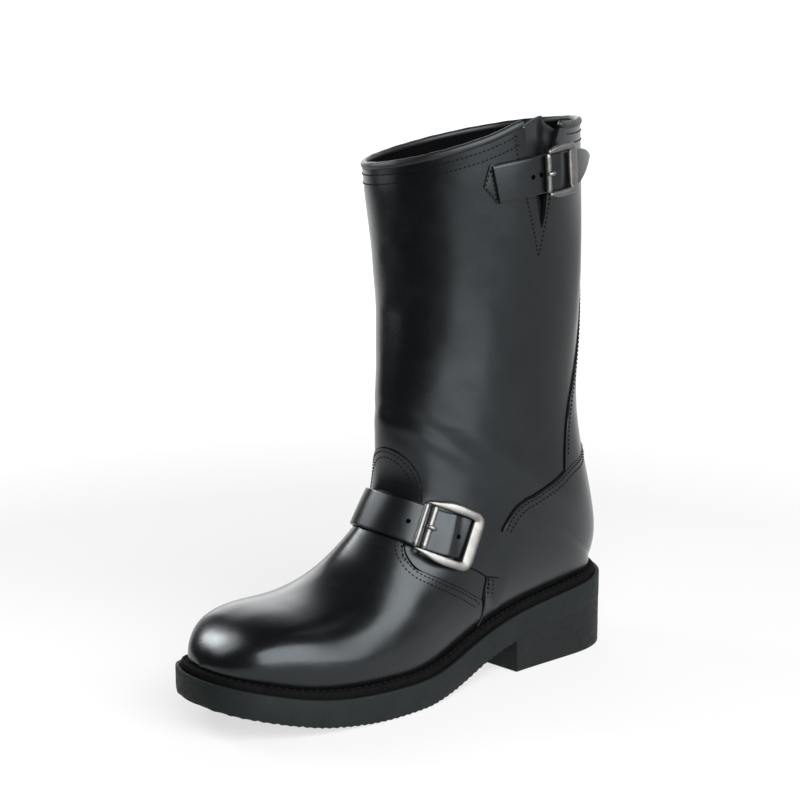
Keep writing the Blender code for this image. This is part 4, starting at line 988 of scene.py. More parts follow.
def upper_patches(fine):
    """Grids of rows and places across for the whole upper, with the height of the vamp's step."""
    parts = (
        (behind, REAR_STEPS, 0.0),
        (before, FORE_STEPS, 0.0),
        (on_tongue, TONGUE_ACROSS, None),
        (beyond, INNER_STEPS, 1.0),
    )
    patches = []
    for place, steps, tongue_share in parts:
        columns = []
        for share in np.linspace(0.0, 1.0, steps * fine + 1):
            kept = share if tongue_share is None else tongue_share
            columns.append(settled_column(place, share, kept, fine))
        patches.append([np.array(part).T for part in zip(*columns)])
    front = [np.concatenate(part, axis=1) for part in zip(*patches[1:])]
    return [patches[0], front]


def normal_at(t, f):
    """Outward normal of the upper's outside."""
    nudge = 1e-3
    t = np.clip(np.asarray(t, float), nudge, COLLAR_ROW - nudge)
    f = np.clip(np.asarray(f, float), nudge, 2.0 - nudge)
    along = surface(t + nudge, f) - surface(t - nudge, f)
    over = surface(t, f + nudge) - surface(t, f - nudge)
    return unit(np.cross(along, over))


def raised(t, f, height):
    """Point at a height over the upper's outside."""
    return surface(t, f) + normal_at(t, f) * np.asarray(height)[..., None]


def shifted(t, f, distance):
    """Moves a line of places sideways over the surface, to its left as seen from outside."""
    points = surface(t, f)
    side = unit(np.cross(normal_at(t, f), np.gradient(points, axis=0)))
    goal = points + side * np.broadcast_to(distance, t.shape)[:, None]
    step = 0.004
    for _ in range(SHIFT_ROUNDS):
        miss = goal - surface(t, f)
        up = (surface(t + step, f) - surface(t - step, f)) / (2.0 * step)
        over = (surface(t, f + step) - surface(t, f - step)) / (2.0 * step)
        a = np.sum(up * up, 1)
        b = np.sum(up * over, 1)
        c = np.sum(over * over, 1)
        p = np.sum(up * miss, 1)
        q = np.sum(over * miss, 1)
        scale = a * c - b * b + 1e-9
        t = np.clip(t + (p * c - q * b) / scale, 0.0, COLLAR_ROW)
        f = np.clip(f + (q * a - p * b) / scale, 0.0, 2.0)
    return t, f


def strap_edges(line, across, half_width, lift):
    """Lower and upper edge of a strap along a line on the upper, at the underside of the strap."""
    rows = smooth_column(line, "across", "row", across)
    lift = np.broadcast_to(lift, across.shape)
    return [raised(*shifted(rows, across, side * half_width), lift) for side in (1.0, -1.0)]


def sits_on_sole(t, f):
    """True for places on the edge that meets the sole."""
    on_line = (f < NEAR_LINE) | (f > 2.0 - NEAR_LINE) | (t < NEAR_LINE)
    return (t < HEEL_ROW + NEAR_ROW) & on_line


def side_patch(sheet, rows, low, high, share, outer, inner):
    """Adds the patch between two edges on the outer side and its twin on the inner side."""
    t = np.repeat(rows[:, None], len(share), axis=1)
    f = low[:, None] + share[None, :] * (high - low)[:, None]
    on_sole = (t < HEEL_ROW + NEAR_ROW) & (share < NEAR_LINE)[None, :]
    outer = np.broadcast_to(outer, t.shape)
    sheet.grid(surface(t, f), outer, inner, on_sole)
    sheet.grid(surface(t, 2.0 - f)[:, ::-1], outer[:, ::-1], inner, on_sole[:, ::-1])


def stay_edges(rows, clear):
    """Lower and upper edge of the back stay at each row; below, it starts at the counter's edge."""
    high = smooth_column(STAY, "row", "edge_across", rows)
    low = np.where(rows < COUNTER["row"][-1] + SEAM_GAP, counter_edge(rows) + clear, 0.0)
    return np.minimum(low, high - STAY_NARROW), high


def binding_path(stations, rise):
    """Line on the rim from the front edge of the slit round the collar to its rear edge."""
    front, rear = slit_edges(BINDING_ROW)
    f = np.linspace(front + BINDING_GAP, BACK_LINE + rear, stations)
    turned = np.where(f > BACK_LINE, f - BACK_LINE, f)
    points = raised(rim_row(turned), turned, np.full(f.shape, -0.5 * WALL))
    points[:, 2] += BINDING_RADIUS + rise
    return points


def gusset_grid(row_count, share_count):
    """Points of the bellows on the upper's surface, and how far each lies behind it."""
    rows = np.linspace(*GUSSET_ROWS, row_count)
    share = np.linspace(0.0, 1.0, share_count)
    front, rear = slit_edges(rows)
    f = (front + GUSSET_LAP)[:, None] + share[None, :] * (rear - front - 2.0 * GUSSET_LAP)[:, None]
    crest = column(GUSSET_CREST, "share", "row", share)
    rise = (crest - rows[0]) / (rows[-1] - rows[0])
    t = rows[0] + (rows[:, None] - rows[0]) * rise[None, :]
    opened = np.clip((rows - GUSSET_OPEN[0]) / (GUSSET_OPEN[1] - GUSSET_OPEN[0]), 0.0, 1.0)[:, None]
    return surface(t, f), opened * column(GUSSET_FOLD, "share", "depth", share)[None, :]


class Seat:
    """Local frame on a strap: u along it to the rear, v across it upwards, n away from the boot."""

    def __init__(self, line, half_width, lift, across, shift=0.0, turn=0.0, bend=math.inf):
        step = 0.01
        near = across + np.array([-step, 0.0, step])
        low, high = strap_edges(line, near, half_width, lift)
        middle = 0.5 * (low + high)
        u = middle[0] - middle[2]
        v = high[1] - low[1]
        self.n = unit(np.cross(u, v))
        u = unit(u)
        v = np.cross(self.n, u)
        angle = np.radians(turn)
        self.u = np.cos(angle) * u + np.sin(angle) * v
        self.v = np.cos(angle) * v - np.sin(angle) * u
        self.origin = middle[1] + shift * self.v
        self.bend = bend

    def at(self, u, v, height):
        """Point at a place on the seat; the seat bends with the strap along u."""
        u = np.asarray(u, float)[..., None]
        v = np.asarray(v, float)[..., None]
        rise = np.asarray(height, float)[..., None] - u * u / (2.0 * self.bend)
        return self.origin + u * self.u + v * self.v + rise * self.n


def buckle_frame(r):
    """Middle line and half widths of a buckle's frame, from the tip of one arm round to the other."""
    tip = -r["half_length"] - r["roller_out"]
    inner = [(tip, r["half_height"])]
    outer = [(tip, r["half_height"] + r["arm_tip"] * r["side_bar"])]
    for row in FRAME_ROWS:
        w = dict(zip(FRAME_COLUMNS, row))
        inner.append((w["inner_u"] * r["half_length"], w["inner_v"] * r["half_height"]))
        outer.append((w["outer_u"] * r["half_length"] + w["outer_u_bar"] * r["end_bar"],
                      w["outer_v"] * r["half_height"] + w["outer_v_bar"] * r["side_bar"]))
    inner = np.array(inner)
    outer = np.array(outer)
    flip = np.array([1.0, -1.0])
    inner = np.r_[inner, (inner * flip)[-2::-1]]
    outer = np.r_[outer, (outer * flip)[-2::-1]]
    return 0.5 * (inner + outer), 0.5 * np.linalg.norm(outer - inner, axis=1)


def buckle_seats():
    """Seat of each buckle on its strap."""
    seats = {}
    for name, line, width, lifts in (("instep_buckle", INSTEP, STRAP_WIDTH, INSTEP_LIFT),
                                     ("top_buckle", TOP_STRAP, TOP_STRAP_WIDTH, TOP_STRAP_LIFT)):
        seats[name] = Seat(line, 0.5 * width, lifts["lift"].min(), *BUCKLE_ROWS[name][:4])
    return seats


class Finish:
    """A material made of nodes around one main shader."""

    def __init__(self, name, color, roughness, **sockets):
        self.material = bpy.data.materials.new(name)
        self.material.use_nodes = True
        self.tree = self.material.node_tree
        self.shader = self.tree.nodes["Principled BSDF"]
        self.shader.inputs["Base Color"].default_value = (*color, 1.0)
        self.shader.inputs["Roughness"].default_value = roughness
        for socket, value in sockets.items():
            self.shader.inputs[socket.replace("_", " ")].default_value = value
        self.place = self.tree.nodes.new("ShaderNodeTexCoord").outputs["Object"]
        self.last_bump = None

    def node(self, kind, **inputs):
        made = self.tree.nodes.new("ShaderNode" + kind)
        for socket, value in inputs.items():
            made.inputs[socket.replace("_", " ")].default_value = value
        return made

    def link(self, start, stop):
        self.tree.links.new(start, stop)

    def noise(self, size, detail=3.0, stretch=None):
        """Noise with grains of the given size in millimetres, stretched along an axis if asked."""
        made = self.node("TexNoise", Scale=1.0 / (size * METRES), Detail=detail)
        place = self.place
        if stretch is not None:
            mapping = self.node("Mapping", Scale=stretch)
            self.link(place, mapping.inputs["Vector"])
            place = mapping.outputs["Vector"]
        self.link(place, made.inputs["Vector"])
        return made.outputs["Fac"]

    def cells(self, size):
        """Cells of the given size in millimetres, as in leather grain."""
        made = self.node("TexVoronoi", Scale=1.0 / (size * METRES))
        self.link(self.place, made.inputs["Vector"])
        return made.outputs["Distance"]

    def spread(self, source, low, high, start=0.35, stop=0.65):
        """Maps a texture to a range of numbers."""
        made = self.node("MapRange", From_Min=start, From_Max=stop, To_Min=low, To_Max=high)
        self.link(source, made.inputs["Value"])
        return made.outputs["Result"]

    def times(self, first, second):
        """Product of two textures."""
        made = self.node("Math")
        made.operation = "MULTIPLY"
        self.link(first, made.inputs[0])
        self.link(second, made.inputs[1])
        return made.outputs["Value"]

    def bump(self, source, strength, depth):
        """Adds relief of the given depth in millimetres to what is there."""
        made = self.node("Bump", Strength=strength, Distance=depth * METRES)
        self.link(source, made.inputs["Height"])
        if self.last_bump is not None:
            self.link(self.last_bump, made.inputs["Normal"])
        self.last_bump = made.outputs["Normal"]
        self.link(self.last_bump, self.shader.inputs["Normal"])

    def rough(self, source, low, high):
        """Varies the roughness between two values."""
        self.link(self.spread(source, low, high), self.shader.inputs["Roughness"])

    def tint(self, source, dark, pale, start=0.3, stop=0.7):
        """Varies the colour between two shades."""
        ramp = self.node("ValToRGB")
        ramp.color_ramp.elements[0].position = start
        ramp.color_ramp.elements[0].color = (*dark, 1.0)
        ramp.color_ramp.elements[1].position = stop
        ramp.color_ramp.elements[1].color = (*pale, 1.0)
        self.link(source, ramp.inputs["Fac"])
        self.link(ramp.outputs["Color"], self.shader.inputs["Base Color"])


def leather(name, dark, pale, roughness, grain):
    """Smooth finished leather: soft waves, patches of fine level wrinkles, fine grain and an even gloss."""
    made = Finish(name, dark, roughness, Specular_IOR_Level=0.45, Specular_Tint=COOL)
    made.tint(made.noise(40.0), dark, pale)
    made.rough(made.noise(14.0, 4.0), roughness - 0.02, roughness + 0.03)
    made.bump(made.noise(16.0, 1.0), 0.16, 0.5)
    patches = made.spread(made.noise(26.0, 1.0), 0.0, 1.0, 0.52, 0.68)
    made.bump(made.times(made.noise(1.5, 2.0, stretch=(0.22, 0.22, 1.0)), patches), 0.30, 0.12)
    made.bump(made.cells(1.1), grain, 0.10)
    made.bump(made.noise(0.45, 2.0), grain, 0.06)
    return made.material


def rubber(name, dark, pale, streak):
    """Moulded or ground rubber: dull, with a dusty bloom and fine marks."""
    made = Finish(name, dark, 0.62, Specular_IOR_Level=0.14)
    made.tint(made.noise(14.0, 6.0), dark, pale)
    made.rough(made.noise(3.0, 4.0), 0.52, 0.70)
    made.bump(made.noise(0.6, 3.0), 0.10, 0.1)
    if streak:
        made.bump(made.noise(1.6, 2.0, stretch=(0.2, 0.2, 1.6)), 0.06, 0.12)
    return made.material


def welt_leather():
    """Welt edge: dull, rough and dark."""
    made = Finish("welt_edge", (0.002, 0.002, 0.002), 0.8, Specular_IOR_Level=0.06)
    made.tint(made.noise(3.0, 4.0), (0.0012, 0.0012, 0.0012), (0.003, 0.003, 0.003))
    made.bump(made.noise(1.2, 4.0), 0.6, 0.5)
    return made.material


def thread():
    """Waxed black thread."""
    made = Finish("thread", (0.003, 0.003, 0.003), 0.8, Specular_IOR_Level=0.06)
    made.tint(made.noise(0.6), (0.002, 0.002, 0.002), (0.005, 0.005, 0.005))
    made.bump(made.noise(0.3, 2.0), 0.5, 0.1)
    return made.material


def hole_shade():
    """Painted shade: flat black without gloss for the discs put inside the punched holes."""
    return Finish("hole_shade", (0.0008, 0.0008, 0.0008), 1.0, Specular_IOR_Level=0.0).material


def lining_cloth():
    """Dark woven lining."""
    made = Finish("lining_cloth", (0.003, 0.003, 0.0033), 0.9, Specular_IOR_Level=0.0)
    made.tint(made.noise(1.0, 2.0), (0.002, 0.002, 0.0022), (0.0045, 0.0045, 0.005))
    made.bump(made.cells(0.7), 0.5, 0.3)
    return made.material


def felt():
    """Felted insole."""
    made = Finish("felt", (0.03, 0.03, 0.032), 0.95, Sheen_Weight=0.3, Sheen_Roughness=0.6)
    made.tint(made.noise(2.0, 6.0), (0.02, 0.02, 0.022), (0.05, 0.05, 0.053))
    made.bump(made.noise(0.6, 6.0), 0.6, 0.4)
    return made.material


def plated_metal():
    """Nickel plate: satin, with fine scratches and slightly dull patches."""
    made = Finish("plated_metal", (0.17, 0.168, 0.162), 0.38, Metallic=1.0)
    made.tint(made.noise(6.0, 3.0), (0.145, 0.143, 0.138), (0.195, 0.193, 0.187))
    made.rough(made.noise(2.5, 4.0), 0.33, 0.42)
    made.bump(made.noise(0.5, 3.0, stretch=(0.3, 1.0, 1.0)), 0.05, 0.05)
    return made.material


def floor_paint_and_glow():
    """Pale paper with a painted glow, more so far from the boot, that gives most of the floor's brightness.
    """
    made = Finish("floor_paint_and_glow", (0.22, 0.22, 0.22), 0.8, Specular_IOR_Level=0.0)
    away = made.node("VectorMath")
    away.operation = "LENGTH"
    made.link(made.place, away.inputs[0])
    near, far, low, high = FLOOR_GLOW
    # The floor's emission is a painted glow that stands in for light on the floor and in the leather's
    # reflections.
    made.shader.inputs["Emission Color"].default_value = (1.0, 1.0, 1.0, 1.0)
    glow = made.spread(away.outputs["Value"], low, high, near, far)
    right, _, back = facing(CAMERA_AZIMUTH, 0.0)
    aside = right + back * 0.5 * PICTURE / FOCAL_PIXELS
    front = facing(FLOOR_FRONT_AZIMUTH, 0.0)[2]
    for direction, (start, stop, share) in ((aside, FLOOR_DIM_RIGHT), (front, FLOOR_DIM_FRONT)):
        along = made.node("VectorMath")
        along.operation = "DOT_PRODUCT"
        along.inputs[1].default_value = direction
        made.link(made.place, along.inputs[0])
        glow = made.times(glow, made.spread(along.outputs["Value"], 1.0, share, start, stop))
    made.link(glow, made.shader.inputs["Emission Strength"])
    return made.material


def soft_edge(distance, width):
    """Share of full thickness at a distance from a cut edge: rounded over the width."""
    near = np.clip(distance / width, 0.0, 1.0)
    return np.sqrt(1.0 - (1.0 - near) ** 2)


def crease_height(points):
    """Height of all creases at points of the upper."""
    total = np.zeros(points.shape[:-1])
    for line in CREASE_ROWS:
        r = dict(zip(CREASE_COLUMNS, line))
        place = np.array(r["row"]), np.array(r["across"])
        normal = normal_at(*place)
        level = unit(np.cross(normal, UP))
        rise = np.cross(level, normal)
        angle = math.radians(r["turn"])
        along = math.cos(angle) * level + math.sin(angle) * rise
        over = math.cos(angle) * rise - math.sin(angle) * level
        away = points - surface(*place)
        u = away @ along
        v = away @ over + CREASE_SWAY * r["length"] * np.sin(u / (CREASE_WAVE * r["length"]))
        fade = np.exp(-(u / r["length"]) ** 2 - (away @ normal / CREASE_REACH) ** 2)
        total -= r["depth"] * fade * np.exp(-(v / r["width"]) ** 2)
    return total


def make_upper(look):
    """Upper with its vamp, tongue and shaft, fine enough for the creases."""
    sheet = Sheet()
    for t, f, step in upper_patches(UPPER_FINE):
        points = surface(t, f)
        sheet.grid(points, step + crease_height(points), -WALL, sits_on_sole(t, f))
    sheet.solid("upper", look)


def make_lining(look):
    """Cloth lining inside the upper, down to the insole."""
    sheet = Sheet()
    face = -WALL - LINING_GAP
    for t, f, _ in upper_patches(LINING_FINE):
        sheet.grid(surface(t, f), face, face - LINING_THICK, sits_on_sole(t, f))
    sheet.solid("lining", look)


def edge_distance(rows, low, high, share):
    """Distance over the surface from each grid point to the patch's upper edge."""
    f = low[:, None] + share[None, :] * (high - low)[:, None]
    points = surface(rows[:, None], f)
    rim = surface(rows, high)
    gap = np.linalg.norm(points[:, :, None, :] - rim[None, None, :, :], axis=-1)
    return gap.min(axis=2)


def close_ends(steps):
    """Shares from 0 to 1 that lie closer together near 1."""
    return np.sort(np.r_[np.linspace(0.0, 1.0, steps), 1.0 - np.array(EDGE_SHARES)])


def make_counter(look):
    """Heel counter with a rounded top edge, thinned away where its front end lies under the strap."""
    rows = grid_rows(COUNTER_GRID, COUNTER_FINE)
    high = counter_edge(rows)
    high[-1] = 0.0
    low = column(COUNTER_LOW, "row", "across", rows)
    share = close_ends(COUNTER_ACROSS)
    thin = column(THINNED, "row", "share", rows)[:, None]
    away = edge_distance(rows, low, high, share)
    full = (1.0 - thin) * soft_edge(away, EDGE_ROUND) + thin * long_edge(away, THIN_WIDTH)
    sheet = Sheet()
    side_patch(sheet, rows, low, high, share, COUNTER_RISE + COUNTER_THICK * full, COUNTER_BED)
    sheet.solid("heel_counter", look)


def make_back_stay(look):
    """Back stay with a rounded edge."""
    rows = grid_rows(STAY_GRID)
    low, high = stay_edges(rows, STAY_CLEAR)
    share = close_ends(STAY_ACROSS)
    full = soft_edge(edge_distance(rows, low, high, share), EDGE_ROUND)
    sheet = Sheet()
    side_patch(sheet, rows, low, high, share, STAY_RISE + STAY_THICK * full, STAY_BED)
    sheet.solid("back_stay", look)


def tube_faces(count, sides):
    """Faces of a tube of that many rings, closed at both ends."""
    faces = []
    for start in range(0, (count - 1) * sides, sides):
        for k in range(sides):
            m = (k + 1) % sides
            faces.append((start + k, start + sides + k, start + sides + m, start + m))
    last = (count - 1) * sides
    return faces + [tuple(range(sides)), tuple(reversed(range(last, last + sides)))]


def bar(points, lift, half_side, half_up, sides, power=2.0):
    """Points and faces of a bar along a path, with a rounded section that may change along it."""
    points = np.asarray(points, float)
    tangent = unit(np.gradient(points, axis=0))
    side = unit(np.cross(tangent, np.broadcast_to(lift, points.shape)))
    up = np.cross(side, tangent)
    angle = np.linspace(0.0, 2.0 * np.pi, sides, endpoint=False)
    across = np.sign(np.cos(angle)) * np.abs(np.cos(angle)) ** (2.0 / power)
    over = np.sign(np.sin(angle)) * np.abs(np.sin(angle)) ** (2.0 / power)
    wide = np.broadcast_to(half_side, len(points))[:, None, None]
    tall = np.broadcast_to(half_up, len(points))[:, None, None]
    ring = (points[:, None, :] + side[:, None, :] * wide * across[None, :, None]
            + up[:, None, :] * tall * over[None, :, None])
    return ring.reshape(-1, 3), tube_faces(len(points), sides)


def make_binding(look):
    """Rolled binding with the slight waves of a turned edge."""
    points = binding_path(BINDING_ALONG, BINDING_LIFT)
    run = np.linspace(0.0, 1.0, len(points))
    height, first, second, start = BINDING_WAVE
    wave = 1.0 + height * np.sin(run * first) * np.sin(run * second + start)
    size = BINDING_RADIUS * wave * soft_edge(np.minimum(run, 1.0 - run) + BINDING_START, BINDING_END)
    wide, tall = BINDING_SECTION
    add_solid("collar_binding", *bar(points, UP, wide * size, tall * size, BINDING_SIDES), look)


def eased(grid):
    """A grid with its sharp folds along the rows rounded off."""
    for _ in range(GUSSET_EASE):
        middle = (grid[:, :-2] + grid[:, 1:-1] + grid[:, 2:]) / 3.0
        grid = np.concatenate([grid[:, :1], middle, grid[:, -1:]], 1)
    return grid


def make_gusset(look):
    """Bellows behind the slit with its folds and wrinkles."""
    points, folded = gusset_grid(*GUSSET_ALONG)
    points = eased(points)
    folded = eased(folded[..., None])[..., 0]
    climb = np.linspace(0.0, 1.0, GUSSET_ALONG[0])[:, None]
    share = np.linspace(0.0, 1.0, GUSSET_ALONG[1])[None, :]
    height, upwards, across, growth = GUSSET_WRINKLE
    wrinkle = height * np.sin(upwards * climb + across * share) * np.clip(growth * folded, 0.0, 1.0)
    drop = (WALL + GUSSET_CLEAR + GUSSET_DEPTH * folded + wrinkle)[:, ::-1]
    sheet = Sheet()
    sheet.grid(points[:, ::-1], -drop, -drop - GUSSET_THICK)
    sheet.solid("gusset", look)


def settled(values, reach):
    """The values with their corners evened out over the reach to each side."""
    padded = np.r_[np.full(reach, values[0]), values, np.full(reach, values[-1])]
    width = 2 * reach + 1
    return np.convolve(padded, np.full(width, 1.0 / width), "valid")


def bulge(across, middle, width, height):
    """Extra height of a strap where it bows out inside a buckle."""
    return height * np.exp(-((across - middle) / width) ** 2)


def strap_piece(name, line, across, half_width, lift, thick, look):
    """Strap with rounded edges, slightly swollen along its middle."""
    low, high = strap_edges(line, across, half_width, lift)
    edge = np.array(STRAP_EDGE)
    share = np.r_[edge, np.linspace(*STRAP_BETWEEN), (1.0 - edge)[::-1]]
    side = np.minimum(share, 1.0 - share)[:, None] * 2.0 * half_width[None, :]
    swell = STRAP_SWELL * np.sin(np.pi * share)[:, None]
    top = thick * (STRAP_SIDE + (1.0 - STRAP_SIDE) * soft_edge(side, STRAP_ROUND)) + swell
    sheet = Sheet()
    sheet.grid(low[None] + share[:, None, None] * (high - low)[None], top, 0.0)
    return sheet.solid(name, look)


def hole_bar(seat, ends, radius):
    """Round bar along a hole's axis between two heights over the strap's underside."""
    return bar(seat.at(np.zeros(2), 0.0, ends), HOLE_ASIDE, radius, radius, HOLE_SIDES)


def punched(thing, seats):
    """Cuts round holes through a strap and keeps the result as its mesh."""
    tools = [plain_mesh("hole_cutter", *hole_bar(seat, HOLE_CUT, HOLE_RADIUS)) for seat in seats]
    for tool in tools:
        cut = thing.modifiers.new("hole", "BOOLEAN")
        cut.object = tool
        cut.solver = "EXACT"
    graph = bpy.context.evaluated_depsgraph_get()
    done = bpy.data.meshes.new_from_object(thing.evaluated_get(graph))
    thing.modifiers.clear()
    thing.data = done
    done.set_sharp_from_angle(angle=SHARP_ANGLE)
    for tool in tools:
        bpy.data.objects.remove(tool, do_unlink=True)


def joined(pieces):
    """Points and faces of several pieces as one mesh."""
    points = []
    faces = []
    total = 0
    for part, quads in pieces:
        points.append(part)
        faces += [tuple(i + total for i in quad) for quad in quads]
        total += len(part)
    return np.concatenate(points), faces


def fastened_strap(name, line, across, half_width, lift, holes, look):
    """Strap through its buckle with its punched holes, and the seats of the holes."""
    strap = strap_piece(name, line, across, half_width, lift, STRAP_THICK, look)
    seats = [Seat(line, half_width.max(), np.interp(place, across, lift), place) for place in holes]
    punched(strap, seats)
    return seats


def make_straps(look, dark):
    """Instep strap, top strap with its free end, the sewn tab, and black discs of painted shade inside the
    holes.
    """
    across = np.linspace(*INSTEP_SPAN, STRAP_ALONG)
    lift = settled(column(INSTEP_LIFT, "across", "lift", across), INSTEP_EASE)
    lift += bulge(across, *INSTEP_BULGE)
    half = np.full(STRAP_ALONG, 0.5 * STRAP_WIDTH)
    seats = fastened_strap("instep_strap", INSTEP, across, half, lift, INSTEP_HOLES, look)
    across = np.linspace(*TOP_STRAP_SPAN, STRAP_ALONG)
    lift = settled(column(TOP_STRAP_LIFT, "across", "lift", across), TOP_STRAP_EASE)
    lift += bulge(across, *TOP_BULGE)
    half = 0.5 * TOP_STRAP_WIDTH * settled(column(TOP_STRAP_POINT, "across", "share", across), POINT_EASE)
    seats += fastened_strap("top_strap", TOP_STRAP, across, half, lift, TOP_HOLES, look)
    # Flat black discs inside the holes: painted shade standing in for the shadow in each hole.
    shade_discs = [hole_bar(seat, HOLE_SHADE_DISC, HOLE_RADIUS + HOLE_LAP) for seat in seats]
    add_solid("hole_painted_shade", *joined(shade_discs), dark)
    across = np.linspace(*TAB_SPAN, TAB_ALONG)
    half = 0.5 * TOP_STRAP_WIDTH * column(TAB_POINT, "across", "share", across)
    strap_piece("top_strap_tab", TOP_STRAP, across, half, TAB_LIFT, TAB_THICK, look)


def end_round(count, stations):
    """Share of full size at each of that many stations, rounded over some stations at both ends."""
    place = np.arange(count)
    return soft_edge(np.minimum(place, place[::-1]) + END_START, stations)


def make_buckle(name, seat, look):
    """Cast buckle: flat rounded frame with a broad end bar, roller, inner bar if any, and short prong."""
    r = dict(zip(BUCKLE_COLUMNS, BUCKLE_ROWS[name]))
    middle, half = buckle_frame(r)
    curve = smooth_curve(np.arange(len(half)), np.c_[middle, half])
    u, v, width = curve(np.linspace(0.0, len(half) - 1.0, FRAME_ALONG)).T
    tip = end_round(FRAME_ALONG, FRAME_END)
    path = seat.at(u, v, r["level"])
    frame_bar = bar(path, seat.n, width * tip, FRAME_HALF * tip, FRAME_SIDES, FRAME_SQUARE)
    add_solid(name + "_frame", *frame_bar, look)
    reach = r["half_height"] - ROD_CLEAR
    cross = np.linspace(-reach, reach, ROD_ALONG)
    ends = soft_edge(reach + ROD_REACH - np.abs(cross), ROD_ROUND)
    for part in ("roller", "bar"):
        out, radius = r[part + "_out"], r[part + "_radius"]
        if out is not None:
            path = seat.at(-r["half_length"] - out, cross, r["level"])
            add_solid(name + "_" + part, *bar(path, seat.n, radius * ends, radius * ends, ROD_SIDES), look)
    core = "roller" if r["bar_out"] is None else "bar"
    bend = r[core + "_radius"] + PRONG_RADIUS + PRONG_CLEAR
    angle = np.radians(np.linspace(*PRONG_BEND, PRONG_ALONG))
    out = bend * np.cos(angle) - r["half_length"] - r[core + "_out"]
    path = seat.at(out, 0.0, r["level"] + bend * np.sin(angle))
    ends = PRONG_RADIUS * end_round(PRONG_ALONG, PRONG_END)
    add_solid(name + "_prong", *bar(path, seat.v, ends, PRONG_TALL * ends, PRONG_SIDES), look)


def make_sole(sole, heel, welt, insole):
    """Outsole, heel, welt and insole with rounded edges."""
    loop_solid("outsole", sole_stations(SOLE_ALONG, GROOVE_CLEAR), OUTSOLE_RINGS, sole)
    stations = heel_stations(HEEL_ALONG)
    loop_solid("heel_lift", stations, LIFT_RINGS, heel, False, breast_slant)
    loop_solid("heel_top_piece", stations, TOP_PIECE_RINGS, heel, False, breast_slant)
    loop_solid("welt_midsole", sole_stations(SOLE_ALONG), WELT_RINGS, welt)
    loop_solid("insole", sole_stations(INSOLE_ALONG), INSOLE_RINGS, insole)


def even_line(t, f):
    """The same line of places with even spacing over the surface."""
    run = path_run(surface(t, f))
    goal = np.linspace(0.0, run[-1], max(int(run[-1] / LINE_SPACING), 4))
    return np.interp(goal, run, t), np.interp(goal, run, f)


def stitch_mesh(lines, kind):
    """Stitches along lines; each line is its points and the normals there."""
    pitch = kind["pitch"]
    shape = np.linspace(-0.5, 0.5, len(STITCH_THICK)) * kind["length"]
    thick = np.array(STITCH_THICK)[:, None] * kind["radius"]
    lift = np.array(STITCH_LIFT)[:, None] * kind["radius"]
    angle = np.linspace(0.0, 2.0 * np.pi, STITCH_SIDES, endpoint=False)
    faces = tube_faces(len(shape), STITCH_SIDES)
    stitches = []
    for path, normal in lines:
        run = path_run(path)
        for middle in np.arange(STITCH_START * pitch, run[-1] - STITCH_STOP * pitch, pitch):
            place = middle + shape
            spine, out = [np.stack([np.interp(place, run, part[:, k]) for k in range(3)], -1)
                          for part in (path, normal)]
            side = unit(np.cross(spine[-1] - spine[0], out))
            ring = (spine[:, None, :] + side[:, None, :] * (thick * np.cos(angle))[:, :, None]
                    + out[:, None, :] * (thick * np.sin(angle) + lift)[:, :, None])
            stitches.append((ring.reshape(-1, 3), faces))
    return joined(stitches)


def on_surface(t, f, height):
    """Points and normals of a line at a height over the upper."""
    return raised(t, f, np.full(t.shape, height)), normal_at(t, f)


def vamp_edge():
    """Edge of vamp and tongue from the outer sole line over the tongue to the inner sole line."""
    f_low = np.linspace(*VAMP_SIDE)
    t_low = column(VAMP, "across", "row", f_low)
    t_side = np.linspace(*TONGUE_SIDE)
    outer, inner = tongue_edges(t_side)
    share = np.linspace(0.0, 1.0, TONGUE_POINTS)
    t_top = column(TONGUE_TOP, "share", "row", share)
    t, f = even_line(np.r_[t_low, t_side, t_top, t_side[::-1], t_low[::-1]],
                     np.r_[f_low, outer, on_tongue(t_top, share), inner[::-1], 2.0 - f_low[::-1]])
    return settled(t, EDGE_SETTLE), settled(f, EDGE_SETTLE)


def stay_line(rows):
    """Front edge of the back stay over the given rows."""
    return rows, smooth_column(STAY, "row", "edge_across", rows)


def both_sides(t, f, height):
    """A line over the upper and its twin on the inner side."""
    t, f = even_line(t, f)
    return [on_surface(t, f, height), on_surface(t, 2.0 - f, height)]


def beside(edge, distance):
    """Line at a distance from an edge, as far as it stays on the outer side and clear of the back line."""
    t, f = shifted(*even_line(*edge), distance)
    keep = (f < 1.0) & (f > BACK_CLEAR)
    return t[keep], f[keep]


def tab_lines():
    """Lines of stitches along both sides of the sewn tab and across its seam."""
    across = np.linspace(TAB_SEAM, TAB_SPAN[1], TAB_STEPS)
    half = 0.5 * TOP_STRAP_WIDTH * column(TAB_POINT, "across", "share", across) - TAB_STITCH
    low, high = strap_edges(TOP_STRAP, across, np.maximum(half, 0.0), TAB_THICK + TAB_STITCH_RISE)
    seam = low[0] + np.linspace(0.0, 1.0, TAB_SEAM_STEPS)[:, None] * (high[0] - low[0])
    out = normal_at(TAB_SEAM_ROW, TAB_SEAM)
    return [(path, np.broadcast_to(out, path.shape)) for path in (low, high, seam)]


